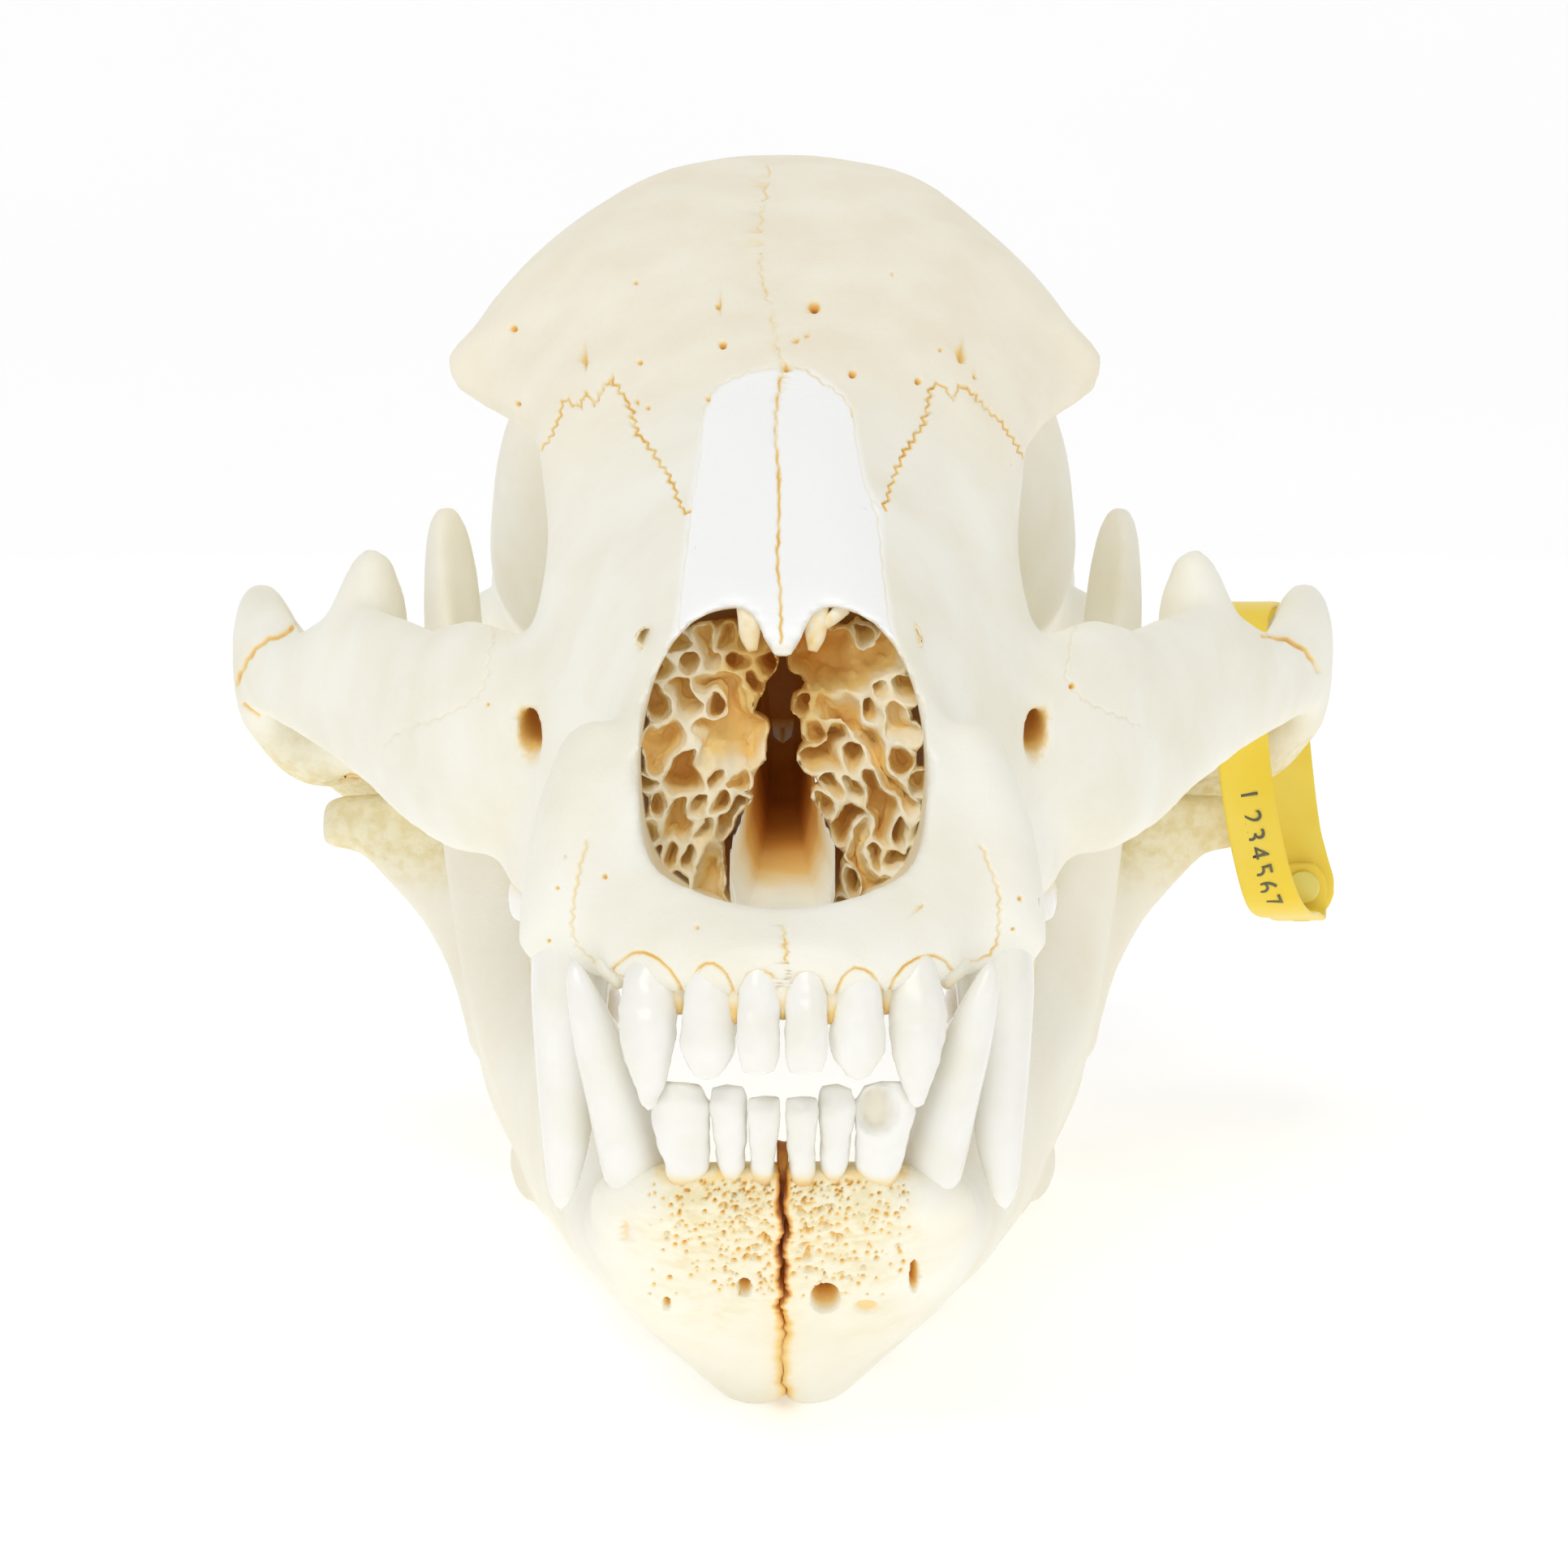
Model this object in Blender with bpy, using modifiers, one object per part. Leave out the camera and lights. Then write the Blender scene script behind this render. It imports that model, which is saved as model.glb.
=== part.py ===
"""Grizzly bear skull with its lower jaw, teeth and a yellow collection tag on one cheek arch.

The tables below are in millimetres, in the palate's frame: x to the skull's left, y from the upper
front teeth towards the back of the head, z up from the edge of the upper tooth sockets.
The last step sets the skull down on its lower jaw and puts the origin under its middle.
"""

import math

import bmesh
import bpy
import numpy as np
from mathutils import Matrix, Vector

# Length from the front of the upper jaw to the neck joint, and the length the tables are drawn for.
SKULL_LENGTH = 320.0
DRAWN_LENGTH = 320.0
MM = 0.001 * SKULL_LENGTH / DRAWN_LENGTH

# How the skull stands: turned nose up until chin and jaw angles touch the table.
STANCE_TILT = math.radians(2.4)
STAND_HEIGHT = 76.0
MIDDLE_Y = 160.05
MIDDLE_X = 1.8

# Gap between neighbouring solids, such as a tooth and its socket.
SOCKET_GAP = 0.35
SYMPHYSIS_GAP = 0.65

# Sizes of the grids that merge the bone forms, before and after the hollows are cut,
# how often each merged skin is smoothed, and the share of its faces that is kept.
CRANIUM_GRID = 2.4
CRANIUM_FINE_GRID = 1.7
CRANIUM_KEEP = 0.02
JAW_GRID = 2.0
JAW_FINE_GRID = 1.5
JAW_KEEP = 0.016
FIRST_PASSES = 4
LAST_PASSES = 2

BONE = (0.86, 0.81, 0.66)
ENAMEL = (0.93, 0.92, 0.87)
YELLOW = (0.95, 0.80, 0.08)

# Half outlines of the cranium, each from the top middle line round to the bottom middle line.
CRANIUM_SECTIONS = [
    (1.0, [(0, 3.5), (4, 3.3), (7, 2.5), (9, 1), (9.5, -0.5), (8.5, -2), (6, -2.8), (3, -3), (0, -3)]),
    (5.0, [(0, 6), (6, 5.8), (11, 5), (15, 3), (17, 0), (16, -2.5), (11, -3.5), (6, -3.5), (0, -3)]),
    (12.0, [(0, 9.5), (8, 9.7), (15, 9), (21, 6.5), (24.5, 2), (24, -2), (18, -3.5), (9, -3), (0, -2)]),
    (18.0, [(0, 12.5), (9, 13), (17, 13), (23.5, 11), (27.5, 5.5), (27, 0), (21, -3.5), (11, -3), (0, -1.5)]),
    (25.0, [(0, 17), (10, 18), (19, 19), (27, 16), (33, 9), (36.5, 0.5), (30, -3), (15, -2.5), (0, -0.5)]),
    (32.0, [(0, 26), (10, 27), (18, 28), (25, 24), (32, 15), (37.5, 3), (32, -2.5), (17, -2), (0, 1)]),
    (40.0, [(0, 38), (9, 39), (16.5, 38.5), (22.5, 32), (29, 20), (35, 5), (31, -2), (18, -1), (0, 2.5)]),
    (47.0, [(0, 47), (8, 48), (15, 45.5), (21, 38.5), (27, 25), (32, 7), (30, -1.5), (18, 0), (0, 3)]),
    (60.0, [(0, 55.5), (8, 56), (14.5, 53.5), (21, 46), (27, 31), (31, 10), (30, -1), (19, 1), (0, 4)]),
    (75.0, [(0, 64), (8, 64), (15, 61), (23, 52), (31, 36), (35, 14), (33, -1), (20, 1.5), (0, 4.5)]),
    (90.0, [(0, 72), (8, 72), (17, 67), (27, 56), (36, 38), (40, 17), (38.5, -1), (22, 1.5), (0, 5)]),
    (105.0, [(0, 79.5), (10, 79), (22, 74), (33, 62), (39, 44), (43.5, 20), (42.5, -1.5), (23, 1.5), (0, 5)]),
    (118.0, [(0, 86.5), (12, 86), (26, 80), (38, 68), (37, 48), (39.5, 21), (42, -1), (23, 1.5), (0, 5)]),
    (132.0, [(0, 94), (13, 94), (28, 89), (41, 75), (34, 56), (30.5, 30), (40, 3), (24, 0), (0, 5)]),
    (145.0, [(0, 101.5), (15, 101.3), (33, 95.5), (47.5, 78.5), (37.5, 65), (27, 34), (36, 5), (23, 0.5), (0, 5)]),
    (157.0, [(0, 107.5), (17, 107.3), (38, 100.5), (55.5, 80.5), (39.5, 69.5), (25, 38), (31, 8), (20, 2), (0, 5.5)]),
    (165.0, [(0, 111), (17, 110.8), (37.5, 103), (48.5, 89.5), (37, 74), (24, 46), (26, 14), (18, 5), (0, 6.5)]),
    (172.0, [(0, 113.5), (15, 113.3), (31.5, 108.5), (42, 97.5), (36, 80), (26, 55), (22, 25), (16, 9), (0, 9)]),
    (182.0, [(0, 116.5), (12, 117), (24, 114), (33, 104), (34, 86), (29, 60), (22, 36), (14, 24), (0, 22)]),
    (195.0, [(0, 118.5), (8, 118), (18, 113), (28, 101), (34, 84), (34, 62), (27, 40), (15, 26), (0, 23)]),
    (212.0, [(0, 119), (4, 117.5), (13, 110), (28, 98), (41, 80), (47, 60), (40, 38), (18, 24), (0, 21)]),
    (230.0, [(0, 117.5), (3.5, 115.5), (13, 106.5), (31, 97), (46, 81), (53, 60), (50, 36), (24, 20), (0, 19)]),
    (250.0, [(0, 114), (3.5, 111.5), (14, 102.5), (32, 93), (46, 77), (53, 57), (52, 34), (28, 17), (0, 17)]),
    (270.0, [(0, 110), (3.5, 107), (15, 97), (31, 86), (44, 70), (51, 51), (53, 30), (30, 14), (0, 16)]),
    (285.0, [(0, 106.5), (5, 103), (17, 92), (32, 79), (44, 63), (53, 44), (56, 26), (32, 12), (0, 15)]),
    (297.0, [(0, 103.5), (11, 100), (25, 87), (37, 72), (48, 55), (57, 36), (56, 22), (30, 12), (0, 15)]),
    (305.0, [(0, 100), (15, 96), (27, 83), (37, 68), (46, 51), (52, 35), (47, 22), (25, 14), (0, 16)]),
    (311.0, [(0, 94), (11, 90), (20, 79), (28, 65), (34, 50), (38, 37), (34, 26), (18, 18), (0, 18)]),
]

# Outlines of one half of the lower jaw, from the tooth edge's inner side outwards and round below.
JAW_SECTIONS = [
    (7.0, [(-3, -28.5), (7, -28.2), (12, -28.5), (14, -30), (13, -32), (7, -33), (-3, -33), (-3, -30.5)]),
    (12.0, [(-3, -28), (9, -27.8), (17, -28.5), (20.5, -31), (19, -35), (10, -37), (-3, -37), (-3, -32)]),
    (20.0, [(-3, -31), (12, -30), (22, -29.5), (26.5, -33), (24.5, -38), (13, -41.5), (-3, -41.5), (-3, -36)]),
    (30.0, [(-3, -37), (13, -34), (23, -32), (28, -37), (25.5, -43.5), (14, -49), (-3, -49.5), (-3, -43)]),
    (42.0, [(-3, -44), (15, -37), (24, -34), (29.3, -41), (26.5, -50), (16.5, -57), (-3, -59), (-3, -51)]),
    (52.0, [(-3, -52), (16, -39), (25, -35), (31, -43), (27, -53), (16.5, -62.8), (-3, -68.5), (-3, -60)]),
    (60.0, [(-2, -58), (17, -40), (26.5, -34), (32.5, -43), (28.5, -53.5), (17.5, -64), (4, -74.5), (-2, -67)]),
    (70.0, [(8, -58), (19, -41), (28, -32), (34, -44), (30.5, -54), (20.5, -63.8), (8, -74.5), (4, -68)]),
    (85.0, [(14, -57), (21.5, -41), (30, -29), (35.5, -43), (33.5, -54.5), (24.5, -63.8), (12.5, -74.3), (9, -67)]),
    (100.0, [(17, -55), (23, -40), (31, -26.5), (37, -41), (35.5, -54.5), (28, -63.8), (17, -74), (12.5, -66)]),
    (125.0, [(23.5, -53), (27, -38), (34, -23), (41, -37), (40.5, -53), (33.5, -64), (23.5, -73), (18.5, -65)]),
    (143.0, [(28, -52), (31, -37), (38, -21), (46.5, -34), (44, -52), (38, -63.5), (28.5, -72.3), (24, -64)]),
    (156.0, [(32, -50), (35.5, -33), (44.5, -9), (52, -28), (46, -50), (40.5, -62.5), (32, -71.5), (28.5, -63)]),
    (168.0, [(37, -46), (42, -18), (53.5, 16), (56.5, -16), (49.5, -46), (43, -61), (36.5, -70.6), (33, -61)]),
    (180.0, [(42, -42), (50, 10), (59, 43), (61.5, 16), (52.5, -42), (46, -58), (40.5, -69.8), (37, -59)]),
    (187.0, [(44.5, -40), (54, 26), (60, 55), (63, 30), (54.5, -38), (48, -56), (42.5, -69.3), (39, -57)]),
    (193.0, [(46.5, -39), (54, 28), (60, 57.5), (63, 32), (55.5, -35), (49, -54), (44, -68.8), (40.5, -56)]),
    (197.5, [(48, -39), (54, 12), (59, 50), (60.5, 14), (55.5, -33), (49.5, -52), (44.8, -68.4), (41.5, -55)]),
    (201.0, [(48.5, -39), (53, -12), (57, 14), (58.5, -6), (55.5, -32), (50, -51), (45.3, -68), (42.5, -54)]),
    (206.0, [(49, -38), (52, -26), (55, -12), (57, -19), (55.5, -31), (51, -49), (46.2, -67), (44, -53)]),
]

# The cheek arch from the face to the ear: centre, half height, half thickness.
ARCH_PATH = [
    ((33, 90, 23), 11, 6),
    ((42, 103, 23), 16, 8.5),
    ((49.5, 113, 23), 19, 8.5),
    ((57, 124, 23), 17, 6.5),
    ((65, 139, 26), 15.5, 5.5),
    ((73, 155, 28), 14, 5.2),
    ((81, 171, 27), 10, 5),
    ((87.5, 186, 27.5), 8.6, 5),
    ((92.5, 199, 30), 11.4, 5.2),
    ((94, 210, 28.5), 14, 5.2),
    ((91.5, 222, 22.5), 11.5, 6),
    ((84, 231, 18), 9.5, 8),
    ((70, 235, 17), 8.5, 10),
    ((52, 235, 21), 10, 13),
]


def ease_through(knots, values, wanted):
    """Smooth values at the wanted places along a line through all the given ones."""
    knots = np.asarray(knots, float)
    values = np.asarray(values, float)
    slopes = np.empty_like(values)
    slopes[1:-1] = (values[2:] - values[:-2]) / (knots[2:] - knots[:-2])[:, None]
    slopes[0] = (values[1] - values[0]) / (knots[1] - knots[0])
    slopes[-1] = (values[-1] - values[-2]) / (knots[-1] - knots[-2])
    place = np.clip(np.searchsorted(knots, wanted, side="right") - 1, 0, len(knots) - 2)
    span = (knots[place + 1] - knots[place])[:, None]
    t = (np.asarray(wanted) - knots[place])[:, None] / span
    return (
        (2 * t**3 - 3 * t**2 + 1) * values[place]
        + (t**3 - 2 * t**2 + t) * span * slopes[place]
        + (3 * t**2 - 2 * t**3) * values[place + 1]
        + (t**3 - t**2) * span * slopes[place + 1]
    )


def closed_ring(points, steps):
    """A smooth closed outline through the points, with the given number of steps."""
    around = np.asarray(points, float)
    around = np.concatenate([around[-2:], around, around[:3]])
    knots = np.arange(-2, len(points) + 3)
    return ease_through(knots, around, np.arange(steps) * len(points) / steps)


def mirrored(half):
    """A whole outline from its half, which runs from the top middle to the bottom middle."""
    return half + [(-x, z) for x, z in reversed(half[1:-1])]


def skin_rings(rings):
    """A closed mesh over rings of points: a grid rolled into a tube, with its ends filled."""
    rows, columns = len(rings), len(rings[0])
    bm = bmesh.new()
    bmesh.ops.create_grid(bm, x_segments=columns, y_segments=rows - 1, size=1.0)
    for vert in bm.verts:
        column = round((vert.co.x + 1) / 2 * columns) % columns
        row = round((vert.co.y + 1) / 2 * (rows - 1))
        vert.co = Vector(rings[row][column]) * MM
    bmesh.ops.remove_doubles(bm, verts=bm.verts, dist=1e-7)
    bmesh.ops.holes_fill(bm, edges=bm.edges, sides=0)
    bmesh.ops.triangulate(bm, faces=[f for f in bm.faces if len(f.verts) > 4])
    bmesh.ops.recalc_face_normals(bm, faces=bm.faces)
    mesh = bpy.data.meshes.new("form")
    bm.to_mesh(mesh)
    bm.free()
    return mesh


def loft(sections, around, along):
    """A body through outlines that stand across the y axis."""
    knots = [y for y, outline in sections]
    wanted = np.linspace(knots[0], knots[-1], along)
    rings = np.array([closed_ring(outline, around) for y, outline in sections])
    flat = ease_through(knots, rings.reshape(len(knots), -1), wanted).reshape(along, around, 2)
    return skin_rings([[(x, y, z) for x, z in ring] for y, ring in zip(wanted, flat)])


def sweep(stations, around, along, up=(0, 0, 1), square=1.0):
    """A bar along a path of (centre, half height, half width), flattened or round."""
    table = np.array([[*centre, tall, wide] for centre, tall, wide in stations], float)
    steps = np.linalg.norm(np.diff(table[:, :3], axis=0), axis=1)
    knots = np.concatenate([[0], np.cumsum(steps)])
    smooth = ease_through(knots, table, np.linspace(0, knots[-1], along))
    centres = smooth[:, :3]
    rings = []
    for i, (x, y, z, tall, wide) in enumerate(smooth):
        ahead = Vector(centres[min(i + 1, along - 1)] - centres[max(i - 1, 0)]).normalized()
        side = ahead.cross(Vector(up)).normalized()
        rise = side.cross(ahead).normalized()
        ring = []
        for k in range(around):
            turn = 2 * math.pi * k / around
            across = math.copysign(abs(math.sin(turn)) ** square, math.sin(turn))
            high = math.copysign(abs(math.cos(turn)) ** square, math.cos(turn))
            ring.append(Vector((x, y, z)) + rise * (tall * high) + side * (wide * across))
        rings.append(ring)
    return skin_rings(rings)


def lump(centre, radii, turn=(0, 0, 0)):
    """A ball stretched to three radii and turned about its own centre, in degrees."""
    bm = bmesh.new()
    bmesh.ops.create_uvsphere(bm, u_segments=24, v_segments=14, radius=1.0)
    x, y, z = [math.radians(a) for a in turn]
    spin = Matrix.Rotation(z, 4, "Z") @ Matrix.Rotation(y, 4, "Y") @ Matrix.Rotation(x, 4, "X")
    stretch = Matrix.Diagonal((*[r * MM for r in radii], 1))
    place = Matrix.Translation(Vector(centre) * MM)
    bmesh.ops.transform(bm, verts=bm.verts, matrix=place @ spin @ stretch)
    mesh = bpy.data.meshes.new("lump")
    bm.to_mesh(mesh)
    bm.free()
    return mesh


def flipped(mesh):
    """The same form on the other side of the head."""
    copy = mesh.copy()
    copy.transform(Matrix.Scale(-1, 4, (1, 0, 0)))
    copy.flip_normals()
    return copy


def both_sides(forms):
    return forms + [flipped(form) for form in forms]


def gathered(name, forms, collection):
    """One object that holds several closed forms, overlapping or not."""
    bm = bmesh.new()
    for form in forms:
        bm.from_mesh(form)
    mesh = bpy.data.meshes.new(name)
    bm.to_mesh(mesh)
    bm.free()
    obj = bpy.data.objects.new(name, mesh)
    collection.objects.link(obj)
    return obj


def melt(obj, grid, passes):
    """Merges overlapping forms into one skin and rounds where they meet."""
    remesh = obj.modifiers.new("merge", "REMESH")
    remesh.mode = "VOXEL"
    remesh.voxel_size = grid * MM
    smooth = obj.modifiers.new("round", "SMOOTH")
    smooth.factor = 0.5
    smooth.iterations = passes


def cut(obj, cutter):
    boolean = obj.modifiers.new("cut", "BOOLEAN")
    boolean.operation = "DIFFERENCE"
    boolean.solver = "EXACT"
    boolean.object = cutter
    cutter.hide_render = True
    cutter.display_type = "WIRE"


def thin_out(obj, share):
    decimate = obj.modifiers.new("thin out", "DECIMATE")
    decimate.ratio = share


def trim(mesh, place, away):
    """Cuts a mesh off along a plane and closes it with a flat face."""
    bm = bmesh.new()
    bm.from_mesh(mesh)
    everything = bm.verts[:] + bm.edges[:] + bm.faces[:]
    bmesh.ops.bisect_plane(bm, geom=everything, dist=1e-7, plane_co=place, plane_no=away, clear_outer=True)
    open_edges = [edge for edge in bm.edges if edge.is_boundary]
    bmesh.ops.holes_fill(bm, edges=open_edges, sides=0)
    bmesh.ops.triangulate(bm, faces=[face for face in bm.faces if len(face.verts) > 3])
    bm.to_mesh(mesh)
    bm.free()


def drop_crumbs(mesh):
    """Keeps a mesh's largest closed piece and deletes loose bits that the cuts left."""
    bm = bmesh.new()
    bm.from_mesh(mesh)
    unseen = set(bm.verts)
    pieces = []
    while unseen:
        piece = set()
        edge_of_piece = {unseen.pop()}
        while edge_of_piece:
            piece |= edge_of_piece
            edge_of_piece = {e.other_vert(v) for v in edge_of_piece for e in v.link_edges} - piece
        unseen -= piece
        pieces.append(piece)
    largest = max(pieces, key=len)
    crumbs = [vert for piece in pieces if piece is not largest for vert in piece]
    bmesh.ops.delete(bm, geom=crumbs, context="VERTS")
    bm.to_mesh(mesh)
    bm.free()


def settle(obj):
    """Replaces an object's mesh by its evaluated one and drops the modifiers."""
    bpy.context.view_layer.update()
    graph = bpy.context.evaluated_depsgraph_get()
    obj.data = bpy.data.meshes.new_from_object(obj.evaluated_get(graph))
    obj.modifiers.clear()


def nasal_cavity():
    """The open nose: the front chamber and the two passages beside the middle wall."""
    rim = [(0, 8), (10, 9.6), (16.5, 14.3), (19.2, 22.5), (19.3, 29), (18.2, 37), (15.6, 43.6), (7, 47), (0, 45.5)]
    room = [(0, 4.5), (10, 6), (18, 11.5), (20.5, 21), (20.5, 30), (19, 38), (16, 44.5), (7, 47.4), (0, 46.5)]
    rear = [(0, 7), (8, 8.5), (12, 12), (13.5, 21), (13.5, 30), (12, 38), (10, 42), (5, 45), (0, 45)]
    shapes = [(-8, rim), (13, rim), (22, room), (62, room), (84, rear), (92, rear)]
    forms = [loft([(y, mirrored(shape)) for y, shape in shapes], 36, 16)]
    passage = [(3.6, 9), (8.8, 9), (7.2, 16), (4.2, 26), (2.6, 38), (1.0, 38), (1.4, 26), (2.4, 16)]
    channel = [(3.2, 9.5), (9.5, 9.5), (10, 16), (7.5, 22), (4, 23), (2.2, 22), (1.6, 19), (2, 14)]
    behind = [(1.0, 10), (11, 9), (12, 14), (10, 20), (5, 23), (1.0, 23), (0.8, 19), (0.8, 14)]
    forms += both_sides([loft([(44, passage), (75, passage), (105, channel), (160, behind), (188, behind)], 24, 14)])
    throat = mirrored([(0, 22), (9, 21), (11.5, 14), (11.5, 2), (9, -8), (0, -8)])
    forms.append(loft([(168, throat), (205, throat)], 24, 4))
    return forms


def cranium_cuts():
    """Every hollow of the cranium, as closed cutters."""
    infraorbital = sweep([((40.5, 70, 24), 4.6, 2.6), ((39.6, 86, 25), 4.3, 2.3), ((38, 96, 28), 3.6, 2.2),
                          ((37, 104, 31), 2.4, 1.6)], 12, 6)
    joint_groove = sweep([((44, 212, -0.5), 7.8, 7.8), ((78, 212, -0.5), 7.8, 7.8), ((87, 212, -1.5), 6.2, 6.2)], 20, 5)
    neck_hole = sweep([((0, 336, 37), 10.5, 13), ((0, 312, 37), 10.5, 13), ((0, 290, 38), 9, 11)], 20, 4)
    ear_hole = lump((62, 261, 20), (14, 3.4, 3.4), (0, 10, 8))
    return nasal_cavity() + both_sides([infraorbital, joint_groove, ear_hole]) + [neck_hole]


def cranium_forms():
    """The cranium's bony masses before they are merged."""
    body = loft([(y, mirrored(half)) for y, half in CRANIUM_SECTIONS], 72, 120)
    arch = sweep(ARCH_PATH, 28, 60, square=0.85)
    cheek_horn = sweep([((71.5, 157, 33), 9, 8.2), ((70, 157, 41), 7.2, 6.6), ((69.6, 157, 47), 5.2, 4.5),
                        ((68.6, 157, 51.2), 2.8, 2.4)], 14, 10, up=(0, 1, 0))
    brow_horn = sweep([((38, 156, 87), 8, 9), ((48, 156.5, 83.5), 6, 6.5), ((53, 156.5, 81.5), 4.6, 5),
                       ((56.3, 156.5, 80.8), 3.6, 3.6)], 18, 10)
    canine_ridge = sweep([((31.2, 25, 0), 7.4, 7), ((30.4, 31, 8), 9, 7.4), ((29, 38, 18), 9, 7), ((27, 46, 29), 7, 5)],
                         18, 10, up=(0, 1, 0))
    joint_roof = lump((67, 216, 13), (25, 14, 8))
    joint_rim = sweep([((94, 212, 26), 8, 5), ((92, 214, 17.5), 9, 5), ((87.5, 216, 11), 9, 5), ((81, 216, 9), 9, 5)],
                      18, 10, up=(0, 1, 0))
    joint_back = sweep([((52, 223, 5), 7, 2.8), ((68, 224, 5), 8, 2.8), ((82, 222, 8), 6, 2.5)], 14, 8)
    wing = sweep([((14.8, 158, 12), 12, 3.2), ((14.6, 178, 12), 12, 2.2), ((14.2, 192, 10), 11, 2),
                  ((14, 201, 5), 6, 1.8)], 14, 10)
    ear_drum = lump((32, 264, 15), (15, 19, 6.5), (0, 0, 20))
    ear_knob = lump((57, 284, 24), (9, 12, 13))
    neck_spur = lump((43, 300, 16), (5, 6, 9))
    neck_knuckle = lump((17, 313, 26), (11, 9, 13), (20, 25, 0))
    neck_crest = sweep([((-4, 305, 99), 4.5, 4), ((10, 306, 97.5), 4.5, 4), ((22, 306.5, 89), 4.2, 3.6),
                        ((35, 304.5, 73), 4, 3.4), ((47, 300, 53), 4.2, 3.6), ((55, 294, 36), 5, 4)], 16, 20)
    paired = [arch, cheek_horn, brow_horn, canine_ridge, joint_roof, joint_rim, joint_back, wing]
    paired += [ear_drum, ear_knob, neck_crest, neck_spur, neck_knuckle]
    return [body] + both_sides(paired)


def jaw_forms():
    """The left half of the lower jaw before its masses are merged."""
    body = loft(JAW_SECTIONS, 40, 90)
    knuckle = sweep([((49, 211, -2), 4, 4), ((60, 212, -1.3), 5.6, 5.2), ((74, 212, -1.6), 5.6, 5.2),
                     ((83.5, 211, -1.2), 4.6, 4.2)], 18, 12)
    neck = sweep([((71, 210.5, 0), 4.2, 9), ((65, 209, -7), 4.4, 8.4), ((59.5, 206.5, -15), 4.8, 7.2),
                  ((55, 203, -26), 5, 5.6), ((51.5, 198, -42), 5, 4.4)], 16, 12, up=(0, 1, 0))
    angle = sweep([((44.5, 196, -62), 7, 4.2), ((46, 207, -62.5), 6, 3.8), ((46.5, 217, -62), 4.2, 2.8)], 14, 8)
    blade_tip = sweep([((57.6, 189, 26), 11, 5.4), ((58.2, 191, 37), 9, 5.2), ((58.8, 192.6, 47), 6.6, 4.5),
                       ((59.4, 193.6, 53.5), 4.6, 3.4), ((59.6, 194, 57), 2.6, 1.8)], 14, 10, up=(0, 1, 0))
    return [body, knuckle, neck, angle, blade_tip]


def jaw_cuts():
    """The muscle hollow on the jaw's outer side and the nerve holes at the chin."""
    muscle_hollow = lump((68.5, 181, -18), (13, 16, 26), (0, 14, 14))
    nerve_hole = sweep([((6, 34, -60), 1.9, 1.9), ((7, 46, -53), 1.6, 1.6)], 10, 2)
    return [muscle_hollow, nerve_hole]


# Each tooth: name, then its stations from root to tip as centre, half length and half width.
UPPER_TEETH = [
    ("upper_incisor_1", [((3.2, 12, 4), 2.0, 1.7), ((3.2, 4.2, 0), 2.8, 2.3), ((3.2, 1.4, -4.5), 2.9, 2.7),
                         ((3.3, -0.6, -9.5), 2.2, 2.8), ((3.3, -1.4, -13.4), 0.9, 2.0)]),
    ("upper_incisor_2", [((9.4, 15, 5), 2.3, 2.0), ((9.9, 7, 0), 3.1, 2.7), ((10.2, 3.9, -5.5), 3.2, 3.4),
                         ((10.4, 2.2, -11), 2.3, 3.3), ((10.5, 1.8, -14.4), 0.9, 1.6)]),
    ("upper_incisor_3", [((16.6, 18, 6), 3, 2.6), ((18.2, 10.5, 0.5), 3.8, 3.4), ((19.1, 6.6, -6.5), 3.7, 3.7),
                         ((19.2, 4.3, -14), 2.6, 2.7), ((18.8, 4, -19), 1.0, 1.0)]),
    ("upper_canine", [((28.6, 37, 14), 5, 3.6), ((30, 31.5, 6), 7, 5.2), ((30.4, 27.7, -3), 7.5, 5.7),
                      ((30.7, 25.9, -14), 6, 4.9), ((31, 25.2, -25), 4.2, 3.7), ((31.7, 25.8, -34), 2.2, 2.1),
                      ((32, 26.2, -37.5), 0.8, 0.8)]),
    ("upper_premolar_1", [((33.5, 49, 5), 1.8, 1.8), ((33.5, 48.5, -1), 2.4, 2.2), ((33.5, 48, -4.5), 1.2, 1.1)]),
    ("upper_premolar_3", [((34, 70, 5), 1.9, 1.8), ((34, 69.5, -1), 2.6, 2.2), ((34, 69, -4.5), 1.2, 1.1)]),
    ("upper_premolar_4", [((34.5, 87, 6), 6, 3.6), ((35.2, 87, -1), 8, 4.6), ((35.6, 86.5, -5), 6.5, 3.6),
                          ((35.6, 86, -8.5), 2.5, 1.6)]),
    ("upper_molar_1", [((36, 107, 6), 8.5, 5), ((36.6, 107, -1), 10.4, 7.2), ((36.6, 107, -5.5), 9.2, 6.2),
                       ((36.4, 107, -7.5), 6.5, 4)]),
    ("upper_molar_2", [((33.4, 136, 6), 14, 4.6), ((33.4, 136, -0.5), 16.5, 7.4), ((33.4, 136, -4.5), 15.3, 6.5),
                       ((33.4, 136, -6), 12, 4.4)]),
]
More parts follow.
